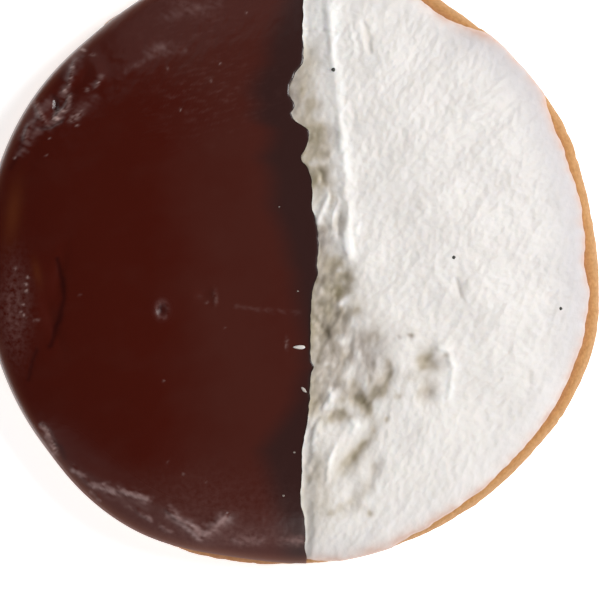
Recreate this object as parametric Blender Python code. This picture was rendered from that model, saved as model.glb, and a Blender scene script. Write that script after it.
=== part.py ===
"""Half moon cookie: a domed, cake-like cookie with chocolate icing on one half and white on the other.

The origin is the middle of the flat underside and +Z is up. The seam between the two icings runs
along Y, with the chocolate on its -X side and the thicker white frosting on its +X side.
"""

import math

import bpy
import numpy as np

MM = 0.001

# ---- Driving dimensions -------------------------------------------------------------------------

# The outline from above: a circle with a few swells and flats.
RIM_RADIUS = 51.3 * MM
RIM_SWELLS = (  # direction in degrees, spread in degrees, rise in mm
    (342, 12, 1.2),
    (49, 14, -1.0),
    (276, 33, -1.1),
    (239, 13, 0.9),
    (129, 11, -0.75),
    (9, 9, -0.6),
    (28, 4, 0.3),
    (45, 6, 0.35),
    (127, 4, 0.28),
    (218, 4, -0.18),
    (329, 3, 0.2),
    (346, 2.5, 0.2),
)

# The baked cookie: a flat foot, a round side and a dome.
WAIST_HEIGHT = 4.6 * MM  # where the side is widest
DOME_RISE = 9.6 * MM  # from the waist to the crown
DOME_FULLNESS = 2.6  # how long the dome stays flat before it falls to the rim
DOME_ROUNDING = 0.52
FOOT_INSET = 4.0 * MM
SIDE_WAVES = ((7, 0.25), (12, 0.16), (19, 0.10))  # waves round the side, and their height in mm
COOKIE_SEGMENTS = 84
DOME_RINGS = (0.22, 0.42, 0.58, 0.7, 0.8, 0.875, 0.93, 0.97, 0.99)
SIDE_TURNS = (0, 22, 45, 68, 90)  # degrees down the round side, from the waist to the foot

# The icings.
GAP = 0.3 * MM  # between touching pieces
CHOCOLATE_THICKNESS = 2.6 * MM
WHITE_THICKNESS = 3.8 * MM
WHITE_SEAM_THICKNESS = 2.8 * MM
EDGE_THICKNESS = 1.7 * MM  # at the top of an icing's round edge
EDGE_BLEND = 3.2 * MM  # from the round edge to the full thickness
BELLY_RISE = 0.7 * MM  # the widest line of an icing's edge, above its lip
LIP_TUCK = 0.9 * MM  # the lip on the cookie's shoulder, in from the widest line
FOOT_TUCK = 1.7 * MM  # the next line in along the underside
SHOULDER_TUCK = 0.5 * MM  # the top's edge, in from the widest line
SEAM_SHOULDER = 0.25 * MM  # the same beside the seam

# Where the chocolate stops short of the rim and the baked edge shows: direction, spread, inset in mm.
CHOCOLATE_TUCK = 0.6 * MM  # how far the chocolate otherwise hangs past the baked edge
CHOCOLATE_INSETS = ((258, 9, 0.8), (127, 5, 0.4))
# The white frosting's edge: the usual inset, and where it is wider or covers the rim.
WHITE_INSET = 1.5 * MM
WHITE_INSETS = (
    (345, 18, 0.7),
    (354, 2, -0.4),
    (0, 3, 0.4),
    (10, 6, -0.25),
    (24, 4, 0.35),
    (35.5, 3, -1.5),
    (42, 4, -1.0),
    (48, 3.2, -1.4),
    (59, 3.5, 0.7),
    (284, 7.5, -1.9),
    (304, 5, -0.25),
)

# The seam seen from above: a line along Y with lobes of frosting that lean to either side.
SEAM_X = 2.1 * MM
SEAM_LOBES = (  # place along Y, half length, lean towards +X, power (4 has a flat crown), in mm
    (27.1, 4.9, -3.0, 4),
    (18.0, 2.6, -1.6, 2),
    (20.7, 9.3, 1.4, 2),
    (3.3, 7.6, 1.7, 2),
    (-19.6, 32.5, 1.3, 2),
    (-34.4, 8.9, -1.2, 2),
)

# The white frosting climbs from the seam to the brink of its flat top, which has a crest on +Y.
BRINK = (  # y and x in mm
    (-50, 3.6),
    (-42, 4.6),
    (-31, 5.4),
    (-26, 7.0),
    (-23, 12.6),
    (-19, 16.0),
    (-13, 15.6),
    (-8, 12.4),
    (-3, 10.4),
    (4, 9.7),
    (16, 9.4),
    (26, 8.7),
    (34, 7.3),
    (50, 7.0),
)
BRINK_EASE = 1.6 * MM  # how far its corners are rounded
CREST_RISE = 0.4 * MM
CREST_WIDTH = 1.3 * MM
CREST_FADE = 16.0 * MM  # the length over which the crest fades out past the middle

# Marks in the icings: x, y, half width, half length, turn in degrees, height; lengths in mm.
WHITE_MARKS = (
    (9.5, -32.0, 6.5, 12.0, 0, -0.5),  # the sunken stretch beside the seam
    (5.0, -8.0, 4.0, 8.0, 0, -0.35),
    (8.5, -3.6, 1.9, 3.2, 0, -0.9),
    (8.9, -6.4, 1.8, 0.9, 0, 0.45),
    (8.2, -8.8, 1.5, 1.4, 0, -0.5),
    (5.7, -10.9, 0.9, 2.0, -34, -0.6),
    (11.6, -14.4, 3.2, 2.6, 0, -0.5),
    (16.0, -18.7, 1.3, 1.7, 20, -0.7),
    (10.9, -20.0, 1.3, 1.7, 0, -0.5),
    (11.7, -22.6, 2.4, 1.4, 12, -0.9),
    (7.4, -25.0, 2.6, 1.8, 0, -0.9),
    (10.3, -26.9, 1.9, 0.9, 10, 0.5),
    (4.2, -28.2, 1.2, 2.0, 0, 0.45),
    (10.0, -32.0, 1.1, 3.2, -35, -0.75),
    (6.7, -31.6, 1.0, 2.4, -30, 0.4),
    (13.9, -33.8, 1.1, 2.0, -20, -0.55),
    (10.0, -38.6, 1.2, 2.3, -15, -0.6),
    (22.4, -16.4, 1.6, 1.6, 0, -0.9),
    (25.2, -14.2, 1.6, 1.3, 30, 0.45),
    (22.8, -21.6, 1.2, 1.9, 0, -0.6),
    (11.8, 38.2, 1.0, 2.6, 10, 0.3),
    (27.8, -4.3, 0.9, 1.8, -10, -0.3),
)
CHOCOLATE_MARKS = (
    (-42.6, -5.4, 2.6, 6.0, -6, 0.5),  # the lobe along the left rim
    (-38.3, -1.6, 1.0, 4.2, -10, -0.45),
    (-39.6, -9.8, 1.0, 4.4, 18, -0.45),
    (-38.6, 27.0, 1.7, 3.2, -40, -0.9),
    (-36.6, 30.6, 1.1, 4.6, -30, 0.5),
    (-41.4, 24.6, 1.1, 3.8, -30, 0.45),
    (-32.4, 32.0, 1.2, 2.6, 20, 0.4),
    (-33.0, -35.3, 1.2, 4.2, 62, 0.45),
    (-26.8, -38.2, 1.1, 3.8, 66, 0.4),
    (-17.4, -43.2, 1.1, 3.4, 52, 0.45),
    (-12.4, -43.4, 1.1, 3.0, -48, 0.45),
    (-21.4, -7.7, 2.0, 2.5, 0, 0.15),
    (-21.4, -7.7, 0.9, 1.2, 0, -0.5),
    (-14.2, -5.2, 1.4, 1.0, 0, -0.3),
)
# Long shallow waves that a spreading knife leaves: length in mm, direction in degrees, height in mm.
WHITE_WAVES = ((17.0, 25, 0.14), (11.0, 70, 0.10), (7.5, 130, 0.07))
CHOCOLATE_WAVES = ((26.0, 80, 0.06), (15.0, 20, 0.04))

WHITE_COLUMNS = 27
WHITE_ROWS = 56
CHOCOLATE_COLUMNS = 21
CHOCOLATE_ROWS = 42
EDGE_CROWDING = 0.45  # how much closer the rows lie near an icing's edges
UNDERSIDE_RINGS = (0.93, 0.8, 0.6, 0.33)

CHOCOLATE = -1  # the side of the seam that each icing lies on
WHITE = 1


# ---- The outline and the baked cookie -----------------------------------------------------------


def bell(distance, spread, power=2):
    """1 in the middle, falling off over the spread."""
    return np.exp(-np.abs(distance / spread) ** power)


def swells(angle, table):
    """The sum of a table's (direction, spread, rise in mm) at an angle in radians."""
    total = np.zeros_like(angle)
    for direction, spread, rise in table:
        turn = (np.degrees(angle) - direction + 180) % 360 - 180
        total = total + rise * MM * bell(turn, spread * math.sqrt(2))
    return total


def outline_radius(angle):
    return RIM_RADIUS + swells(angle, RIM_SWELLS)


def chocolate_share(angle):
    """1 where the chocolate hangs over the baked edge, 0 on the white side, soft between."""
    return 1 / (1 + np.exp(40 * (np.cos(angle) - SEAM_X / RIM_RADIUS)))


def cookie_radius(angle):
    bared = np.minimum(swells(angle, CHOCOLATE_INSETS), CHOCOLATE_TUCK)
    return outline_radius(angle) - chocolate_share(angle) * (CHOCOLATE_TUCK - bared)


def icing_radius(angle, side):
    if side == WHITE:
        return outline_radius(angle) - np.maximum(WHITE_INSET + swells(angle, WHITE_INSETS), 0)
    return outline_radius(angle) - swells(angle, CHOCOLATE_INSETS)


def dome_height(x, y, limit=1.0):
    """The top of the baked cookie. Past the limit, a share of its radius, it stays level."""
    share = np.minimum(np.hypot(x, y) / cookie_radius(np.arctan2(y, x)), limit)
    return WAIST_HEIGHT + DOME_RISE * (1 - share**DOME_FULLNESS) ** DOME_ROUNDING


def build_cookie(material):
    angle = np.linspace(0, 2 * math.pi, COOKIE_SEGMENTS, endpoint=False)
    radius = cookie_radius(angle)
    rings = []
    for share in DOME_RINGS:
        x = share * radius * np.cos(angle)
        y = share * radius * np.sin(angle)
        rings.append((x, y, dome_height(x, y)))
    for turn in SIDE_TURNS:
        low = math.radians(turn)
        waves = sum(height * MM * np.sin(count * angle + count) for count, height in SIDE_WAVES)
        level = 1 if turn < SIDE_TURNS[-1] else 0
        reach = radius - FOOT_INSET * (1 - math.cos(low)) + level * math.sin(2 * low) * waves
        height = WAIST_HEIGHT * (1 - math.sin(low))
        rings.append((reach * np.cos(angle), reach * np.sin(angle), np.full_like(angle, height)))
    points = [(0, 0, WAIST_HEIGHT + DOME_RISE)]
    for ring in rings:
        points.extend(zip(*ring, strict=True))
    faces = cap_faces(0, 1, COOKIE_SEGMENTS)
    for i in range(len(rings) - 1):
        faces += band_faces(1 + i * COOKIE_SEGMENTS, 1 + (i + 1) * COOKIE_SEGMENTS, COOKIE_SEGMENTS)
    foot = 1 + (len(rings) - 1) * COOKIE_SEGMENTS
    faces.append(tuple(range(foot + COOKIE_SEGMENTS - 1, foot - 1, -1)))
    return add_piece("cookie", points, faces, material)


# ---- The icings ---------------------------------------------------------------------------------


def seam_x(y):
    """Where the seam lies, for a place along Y."""
    x = np.full_like(y, SEAM_X)
    for place, length, lean, power in SEAM_LOBES:
        x = x + lean * MM * bell(y - place * MM, length * MM, power)
    return x


def icing_reach(angle, side):
    """From the middle of the seam to the icing's outline, which is given about the cookie's middle."""
    reach = np.full_like(angle, RIM_RADIUS)
    for _ in range(6):
        x = SEAM_X + reach * np.cos(angle)
        y = reach * np.sin(angle)
        reach = reach * icing_radius(np.arctan2(y, x), side) / np.hypot(x, y)
    return reach


def half_moon(across, along, side, rim_inset=0.0, seam_inset=0.0):
    """Maps a rectangle onto a half moon: across runs 0 to 1 from the seam to the rim, along -1 to 1."""
    share = np.maximum(across, np.abs(along))
    safe = np.where(share > 0, share, 1)
    near_rim = math.pi / 4 * along / safe
    near_seam = np.sign(along) * (math.pi / 2 - math.pi / 4 * across / safe)
    turn = np.where(across >= np.abs(along), near_rim, near_seam)
    angle = turn if side == WHITE else math.pi - turn
    reach = share * (icing_reach(angle, side) - rim_inset)
    y = reach * np.sin(angle)
    pull = (seam_x(y) - SEAM_X + side * (GAP / 2 + seam_inset)) * (1 - across) ** 3
    return SEAM_X + reach * np.cos(angle) + pull, y


def marks_height(x, y, marks):
    """The bumps and hollows of a table of marks."""
    total = np.zeros_like(x)
    for place_x, place_y, width, length, turn, height in marks:
        cos = math.cos(math.radians(turn))
        sin = math.sin(math.radians(turn))
        dx = x / MM - place_x
        dy = y / MM - place_y
        across = (cos * dx + sin * dy) / width
        along = (cos * dy - sin * dx) / length
        total = total + height * MM * np.exp(-(across**2) - along**2)
    return total


def waves_height(x, y, waves):
    total = np.zeros_like(x)
    for length, direction, height in waves:
        way = math.radians(direction)
        run = (x * math.cos(way) + y * math.sin(way)) / (length * MM)
        total = total + height * MM * np.sin(math.tau * run + length)
    return total


def smooth_step(t):
    t = np.clip(t, 0, 1)
    return t * t * (3 - 2 * t)


def chocolate_thickness(x, y):
    relief = marks_height(x, y, CHOCOLATE_MARKS) + waves_height(x, y, CHOCOLATE_WAVES)
    return CHOCOLATE_THICKNESS + relief


def brink_x(y):
    """Where the white frosting's flat top begins, for a place along Y."""
    places, offsets = np.array(BRINK).T * MM
    steps = np.linspace(-BRINK_EASE, BRINK_EASE, 5)
    return sum(np.interp(y + step, places, offsets) for step in steps) / len(steps)


def white_thickness(x, y):
    seam = seam_x(y)
    brink = brink_x(y)
    climb = smooth_step((x - seam) / (brink - seam))
    body = WHITE_SEAM_THICKNESS + (WHITE_THICKNESS - WHITE_SEAM_THICKNESS) * climb
    crest = CREST_RISE * bell(x - brink, CREST_WIDTH) * smooth_step(y / CREST_FADE + 0.5)
    return body + crest + marks_height(x, y, WHITE_MARKS) + waves_height(x, y, WHITE_WAVES)


def icing_top(x, y, side):
    """The icing's upper surface, which rounds down to its edge at the rim."""
    limit = 1 - FOOT_TUCK / RIM_RADIUS
    full = white_thickness(x, y) if side == WHITE else chocolate_thickness(x, y)
    inward = icing_radius(np.arctan2(y, x), side) - SHOULDER_TUCK - np.hypot(x, y)
    lift = np.sqrt(1 - (1 - np.clip(inward / EDGE_BLEND, 0, 1)) ** 2)
    return dome_height(x, y, limit) + GAP + EDGE_THICKNESS + (full - EDGE_THICKNESS) * lift


def perimeter(columns, rows):
    """The grid's border, counter-clockwise seen from above on the white side, as (column, row)."""
    border = [(i, 0) for i in range(columns)]
    border += [(columns, j) for j in range(rows)]
    border += [(i, rows) for i in range(columns, 0, -1)]
    border += [(0, j) for j in range(rows, 0, -1)]
    return border


def build_icing(name, side, columns, rows, material):
    i, j = np.meshgrid(np.arange(columns + 1), np.arange(rows + 1), indexing="ij")
    across = i / columns
    across = across - EDGE_CROWDING * np.sin(math.tau * across) / math.tau
    along = 2 * j / rows - 1
    along = along + EDGE_CROWDING * np.sin(math.pi * along) / math.pi

    x, y = half_moon(across, along, side, SHOULDER_TUCK, SEAM_SHOULDER)
    points = list(zip(x.ravel(), y.ravel(), icing_top(x, y, side).ravel(), strict=True))
    faces = []
    for column in range(columns):
        for row in range(rows):
            corner = column * (rows + 1) + row
            faces.append((corner, corner + rows + 1, corner + rows + 2, corner + 1))

    border = perimeter(columns, rows)
    edge_across = np.array([across[c, r] for c, r in border])
    edge_along = np.array([along[c, r] for c, r in border])
    belly_x, belly_y = half_moon(edge_across, edge_along, side)
    lip_x, lip_y = half_moon(edge_across, edge_along, side, LIP_TUCK)
    foot_x, foot_y = half_moon(edge_across, edge_along, side, FOOT_TUCK)
    lip_z = dome_height(lip_x, lip_y) + GAP
    foot_z = dome_height(foot_x, foot_y) + GAP
    rings = [(belly_x, belly_y, lip_z + BELLY_RISE), (lip_x, lip_y, lip_z), (foot_x, foot_y, foot_z)]
    middle_x, middle_y = foot_x.mean(), foot_y.mean()
    for share in UNDERSIDE_RINGS:
        ring_x = middle_x + share * (foot_x - middle_x)
        ring_y = middle_y + share * (foot_y - middle_y)
        rings.append((ring_x, ring_y, dome_height(ring_x, ring_y) + GAP))

    above = [c * (rows + 1) + r for c, r in border]
    count = len(border)
    for ring in rings:
        below = list(range(len(points), len(points) + count))
        points.extend(zip(*ring, strict=True))
        for k in range(count):
            following = (k + 1) % count
            faces.append((above[k], below[k], below[following], above[following]))
        above = below
    points.append((middle_x, middle_y, float(dome_height(middle_x, middle_y)) + GAP))
    faces += [(above[k], len(points) - 1, above[(k + 1) % count]) for k in range(count)]
    if side == CHOCOLATE:
        faces = [face[::-1] for face in faces]
    return add_piece(name, points, faces, material)


# ---- Blender ------------------------------------------------------------------------------------


def cap_faces(tip, first, count):
    return [(tip, first + k, first + (k + 1) % count) for k in range(count)]


def band_faces(upper, lower, count):
    """Faces between two closed rings of points, facing out when the rings run counter-clockwise."""
    return [
        (upper + k, lower + k, lower + (k + 1) % count, upper + (k + 1) % count) for k in range(count)
    ]


def add_piece(name, points, faces, material):
    mesh = bpy.data.meshes.new(name)
    mesh.from_pydata([tuple(map(float, p)) for p in points], [], faces)
    mesh.materials.append(material)
    mesh.validate()
    mesh.shade_smooth()
    mesh.set_sharp_from_angle(angle=math.radians(50))
    piece = bpy.data.objects.new(name, mesh)
    bpy.context.scene.collection.objects.link(piece)
    return piece


def finish(name, colour, roughness):
    material = bpy.data.materials.new(name)
    material.use_nodes = True
    shader = material.node_tree.nodes["Principled BSDF"]
    shader.inputs["Base Color"].default_value = (*colour, 1)
    shader.inputs["Roughness"].default_value = roughness
    shader.inputs["Metallic"].default_value = 0
    return material


def main():
    for thing in list(bpy.data.objects):
        bpy.data.objects.remove(thing, do_unlink=True)
    baked = finish("baked_cookie", (0.55, 0.27, 0.10), 0.8)
    chocolate = finish("chocolate", (0.052, 0.010, 0.007), 0.25)
    white = finish("white_frosting", (0.8, 0.77, 0.72), 0.55)
    build_cookie(baked)
    build_icing("chocolate_icing", CHOCOLATE, CHOCOLATE_COLUMNS, CHOCOLATE_ROWS, chocolate)
    build_icing("white_frosting", WHITE, WHITE_COLUMNS, WHITE_ROWS, white)


main()
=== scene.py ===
"""The finish of the half moon cookie: chocolate icing on one half of it and white frosting on the other.

The outline, the dome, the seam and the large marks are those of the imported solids, so every piece
lies where its solid lies. The finer relief and the colours are added here. +Z is up, the seam runs
along Y, and the tables are in millimetres and degrees.
"""

import math

import bmesh
import bpy
import numpy as np
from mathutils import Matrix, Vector


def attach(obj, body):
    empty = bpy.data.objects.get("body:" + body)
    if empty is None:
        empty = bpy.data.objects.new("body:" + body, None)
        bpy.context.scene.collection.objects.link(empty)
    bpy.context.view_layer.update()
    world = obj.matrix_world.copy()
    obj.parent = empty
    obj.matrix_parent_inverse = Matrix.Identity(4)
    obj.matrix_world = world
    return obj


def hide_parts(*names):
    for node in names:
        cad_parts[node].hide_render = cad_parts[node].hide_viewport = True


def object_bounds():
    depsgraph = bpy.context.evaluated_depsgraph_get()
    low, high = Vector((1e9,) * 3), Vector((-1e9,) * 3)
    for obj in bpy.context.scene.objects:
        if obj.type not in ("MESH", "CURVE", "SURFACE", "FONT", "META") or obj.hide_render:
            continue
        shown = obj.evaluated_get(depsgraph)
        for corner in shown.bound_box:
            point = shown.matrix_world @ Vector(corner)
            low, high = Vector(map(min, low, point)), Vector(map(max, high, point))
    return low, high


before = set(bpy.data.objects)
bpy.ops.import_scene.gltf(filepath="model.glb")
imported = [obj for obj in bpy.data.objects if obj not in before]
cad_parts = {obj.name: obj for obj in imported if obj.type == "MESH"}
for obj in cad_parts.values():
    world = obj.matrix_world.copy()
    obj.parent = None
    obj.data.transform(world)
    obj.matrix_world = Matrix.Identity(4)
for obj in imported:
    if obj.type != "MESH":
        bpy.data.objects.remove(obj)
packed_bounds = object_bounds()

MM = 0.001

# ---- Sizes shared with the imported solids

RIM_RADIUS = 51.3 * MM
RIM_SWELLS = (  # direction, spread, rise
    (342, 12, 1.2), (49, 14, -1), (276, 33, -1.1), (239, 13, 0.9), (129, 11, -0.75), (9, 9, -0.6),
    (28, 4, 0.3), (45, 6, 0.35), (127, 4, 0.28), (218, 4, -0.18), (329, 3, 0.2), (346, 2.5, 0.2),
)

WAIST_HEIGHT = 4.6 * MM
DOME_RISE = 9.6 * MM
DOME_FULLNESS = 2.6
DOME_ROUNDING = 0.52
FOOT_INSET = 4.0 * MM
SIDE_WAVES = ((7, 0.25), (12, 0.16), (19, 0.10))  # waves round the side, height

GAP = 0.3 * MM
CHOCOLATE_THICKNESS = 2.6 * MM
WHITE_THICKNESS = 3.8 * MM
WHITE_SEAM_THICKNESS = 2.8 * MM
BELLY_RISE = 0.7 * MM
LIP_TUCK = 0.9 * MM
FOOT_TUCK = 1.7 * MM
SHOULDER_TUCK = 0.5 * MM
EDGE_WIDTH = 3.7 * MM  # from the widest line of an icing to its flat top
CHOCOLATE_TUCK = 0.6 * MM
CHOCOLATE_INSETS = ((258, 9, 0.8), (127, 5, 0.4))
WHITE_INSET = 1.5 * MM
WHITE_INSETS = (
    (345, 18, 0.7), (354, 2, -0.4), (0, 3, 0.4), (10, 6, -0.25), (24, 4, 0.35), (35.5, 3, -1.5),
    (42, 4, -1), (48, 3.2, -1.4), (59, 3.5, 0.7), (284, 7.5, -1.9), (304, 5, -0.25),
)

SEAM_X = 2.1 * MM
SHARE_STEEPNESS = 40  # how sharply one side's share gives way to the other's at the seam
SEAM_LOBES = (  # place along Y, half length, lean towards +X, power
    (27.1, 4.9, -3, 4), (18, 2.6, -1.6, 2), (20.7, 9.3, 1.4, 2), (3.3, 7.6, 1.7, 2), (-19.6, 32.5, 1.3, 2),
    (-34.4, 8.9, -1.2, 2),
)

BRINK = (  # y and x, where the frosting's flat top begins
    (-50, 3.6), (-42, 4.6), (-31, 5.4), (-26, 7), (-23, 12.6), (-19, 16), (-13, 15.6), (-8, 12.4),
    (-3, 10.4), (4, 9.7), (16, 9.4), (26, 8.7), (34, 7.3), (50, 7),
)
BRINK_EASE = 1.6 * MM
CREST_RISE = 0.15 * MM  # the rest of the solid's crest is the sharper line below
CREST_WIDTH = 1.3 * MM
CREST_FADE = 16.0 * MM

WHITE_MARKS = (  # x, y, half width, half length, height, and the turn of those that have one
    (9.5, -32, 6.5, 12, -0.5), (5, -8, 4, 8, -0.35), (8.5, -3.6, 1.9, 3.2, -0.9),
    (8.9, -6.4, 1.8, 0.9, 0.45), (8.2, -8.8, 1.5, 1.4, -0.5), (5.7, -10.9, 0.9, 2, -0.6, -34),
    (11.6, -14.4, 3.2, 2.6, -0.5), (16, -18.7, 1.3, 1.7, -0.7, 20), (10.9, -20, 1.3, 1.7, -0.5),
    (11.7, -22.6, 2.4, 1.4, -0.9, 12), (7.4, -25, 2.6, 1.8, -0.9), (10.3, -26.9, 1.9, 0.9, 0.5, 10),
    (4.2, -28.2, 1.2, 2, 0.45), (10, -32, 1.1, 3.2, -0.75, -35), (6.7, -31.6, 1, 2.4, 0.4, -30),
    (13.9, -33.8, 1.1, 2, -0.55, -20), (10, -38.6, 1.2, 2.3, -0.6, -15), (22.4, -16.4, 1.6, 1.6, -0.9),
    (25.2, -14.2, 1.6, 1.3, 0.45, 30), (22.8, -21.6, 1.2, 1.9, -0.6), (11.8, 38.2, 1, 2.6, 0.3, 10),
    (27.8, -4.3, 0.9, 1.8, -0.3, -10),
)
CHOCOLATE_MARKS = (  # lower than the solid's where a stroke below sharpens them
    (-42.6, -5.4, 2.6, 6, 0.5, -6), (-38.3, -1.6, 1, 4.2, -0.3, -10), (-39.6, -9.8, 1, 4.4, -0.3, 18),
    (-38.6, 27, 1.7, 3.2, -0.9, -40), (-36.6, 30.6, 1.1, 4.6, 0.5, -30), (-41.4, 24.6, 1.1, 3.8, 0.45, -30),
    (-32.4, 32, 1.2, 2.6, 0.4, 20), (-33, -35.3, 1.2, 4.2, 0.22, 62), (-26.8, -38.2, 1.1, 3.8, 0.2, 66),
    (-17.4, -43.2, 1.1, 3.4, 0.45, 52), (-12.4, -43.4, 1.1, 3, 0.45, -48), (-21.4, -7.7, 2, 2.5, 0.15),
    (-21.4, -7.7, 0.9, 1.2, -0.5), (-14.2, -5.2, 1.4, 1, -0.3),
)
WHITE_WAVES = ((17.0, 25, 0.14), (11.0, 70, 0.10), (7.5, 130, 0.07))  # length, direction, height
CHOCOLATE_WAVES = ((26.0, 80, 0.06), (15.0, 20, 0.04))

CHOCOLATE = -1  # the side of the seam that each icing lies on
WHITE = 1

# ---- Sizes of the finer relief

SEAM_NICKS = (  # the seam's small scallops: the same as its lobes
    (37.5, 3, -0.2, 2), (32, 0.9, -0.3, 2), (28.6, 1.2, -0.25, 2), (26.4, 0.9, 0.5, 2),
    (24.3, 1.1, -0.5, 4), (22.3, 0.8, 0.45, 2), (17.5, 1, -0.4, 4), (9.3, 1.3, -0.25, 4), (-2, 1.2, 0.4, 2),
    (-17.1, 0.7, 0.5, 2), (-31.5, 3, -0.25, 2), (-39, 2.2, -0.4, 4), (-47.6, 1, -0.3, 2),
)
SEAM_RAGS = ((1.5, 0.10, 55), (0.8, 0.07, 56))  # the seam's ragged edge: length, depth, seed
RIM_RAGS = ((90, 0.20, 61), (240, 0.12, 62))  # the frosting's, at the rim: waves round it, depth, seed

SHOWN_GAP = -0.3 * MM  # the icings lap over each other here, where the solids keep a gap
SEAM_SHOULDER = 0.12 * MM
SEAM_BLEND = 1.1 * MM  # how far from the seam each icing begins to bend to its thickness there
SEAM_LEVELS = {CHOCOLATE: 2.5 * MM, WHITE: 2.6 * MM}
FINE_CREST = (0.42, 0.70)  # the height and half width of the softly broken line along the brink
HOLLOW_DEPTH = 0.35  # how deep a wholly thin place is
WHITE_SINK = 0.3 * MM  # how far the frosting's mean level lies below the solid's, for its relief
CEILING = packed_bounds[1][2] - 0.05 * MM  # the highest parts are eased below this
CEILING_EASE = 0.08 * MM
LEVEL_EASE = 0.02
ROUGH_START = (8 * MM, -12 * MM)  # where the low ground grows rough along Y, and over what length
ROUGH_END = (-38 * MM, -8 * MM)
ROUGH_LOSS = 0.45  # how much less rough it is past that end
ROUGH_BASE = 0.18
ROUGH_GAIN = 2.2
CREST_BREAKS = (0.75, 0.35, 4 * MM, 57)  # the crest line's mean, its changes, their length, seed
RIPPLE_RIM = (0.6, 0.35)  # from what share of the radius the chocolate ripples more, and over what share
RIPPLE_TOP = (0, 20 * MM)  # and where along Y it does so fully
RIPPLE_BASE = 0.25
FLECK_RISE = 0.14

# Streaks of noise: weight, length, width, direction, seed.
WHITE_SWIRLS = ((0.14, 9, 4, 55, 11), (0.08, 3.6, 2, 60, 12))
WHITE_GRAIN = ((0.12, 1.6, 1.1, 60, 13), (0.06, 0.8, 0.6, 45, 14))
WHITE_LUMPS = ((0.24, 2.8, 1.6, 72, 15), (0.16, 1.5, 0.9, 60, 16))
CHOCOLATE_RIPPLES = ((0.05, 7, 3, 30, 21), (0.03, 2.6, 1.6, 60, 22), (0.022, 1.4, 0.8, 60, 24))
CHOCOLATE_GRAIN = ((0.07, 0.9, 0.8, 0, 23),)
MOTTLING = ((0.35, 2.6, 1.4, 72, 41), (0.25, 1.2, 0.8, 60, 42))
MAUVE_DRIFT = ((0.3, 3, 1.6, 80, 43),)
# blotches in the painted reflection on the chocolate
REFLECTION_BLOTCHES = ((0.22, 9, 5, 20, 44), (0.12, 3, 2.2, 20, 45))
FRINGE_BREAKS = ((0.7, 3, 3, 0, 46), (0.4, 1.2, 1.2, 0, 47))
FLECK_AND_GLINT_BREAKS = ((1.3, 0.55, 0.4, 60, 48),)
FINE_RIPPLES = ((1.6, 2.2, 0.5, 15, 49),)
GLEAM_GAPS = ((1.2, 2.4, 0.7, -25, 50), (0.5, 0.8, 0.5, -25, 54))
GLEAM_RAGS = (((0.32, 0.9, 0.6, 20, 58),), ((0.32, 0.9, 0.6, 20, 59),))  # along X and along Y
FRINGE_MEAN = 0.6  # what these three kinds of breaks are added to
FLECK_AND_GLINT_MEAN = 0.7
GLEAM_MEAN = 0.75
WARPS = ((3.2, 0.30, 51), (1.1, 0.14, 53))  # size, reach and seed of the waver in the listed marks

CREST_LINE = (  # x and y along the bright line at the brink
    (6.3, 43), (6.5, 38.9), (6.9, 33.9), (7.6, 28.9), (8.2, 22.9), (8.6, 18.9), (9, 15.6), (9.3, 10.6),
    (9.3, 6.4), (9.4, 1.2),
)
WHITE_STROKES = (  # half width, height, then the stroke's points
    (0.3, -0.22, (2.2, 38.9), (4.6, 38.6), (7.2, 38.4)),
    (0.4, -0.3, (12.2, 39.8), (13, 37.6), (13.2, 35.1)), (0.45, 0.15, (9.8, 39.9), (10.6, 36.2)),
    (0.35, -0.22, (27.4, -2.7), (28, -4.4), (28.7, -6.1)), (0.4, -0.25, (39.6, -18.2), (39.6, -19.9)),
    (0.5, -0.35, (4.6, 15.4), (5.2, 14)), (0.45, 0.35, (6.1, 11), (5.1, 8.8), (4.2, 6.9)),
    (0.4, 0.25, (8.1, 10.2), (7.2, 8.2), (6.9, 6.4)), (0.45, -0.35, (8, 8.4), (8, 5)),
    (0.3, 0.25, (9.7, 10), (9.6, 6.4)), (0.6, 0.38, (9.5, 5), (9.5, 1.2)), (0.4, 0.2, (11, 6.4), (11, 5)),
    (0.45, 0.3, (10, -25.8), (10.9, -26.8), (10.2, -28)), (0.45, 0.35, (6.6, -21.8), (5.6, -24)),
    (0.4, 0.35, (4.4, -26.8), (3.8, -28.4), (3.6, -31)),
    (0.45, 0.35, (7.3, -30.6), (6.6, -32.6), (6, -35.8)),
    (0.8, -0.22, (12.3, -29.8), (10.3, -32.2), (8.2, -35)), (0.8, -0.16, (13.4, -36.4), (9.2, -41.4)),
    (0.4, 0.3, (24.7, -13.9), (26, -14.4), (27, -17.4), (26.2, -22)),
)
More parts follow.
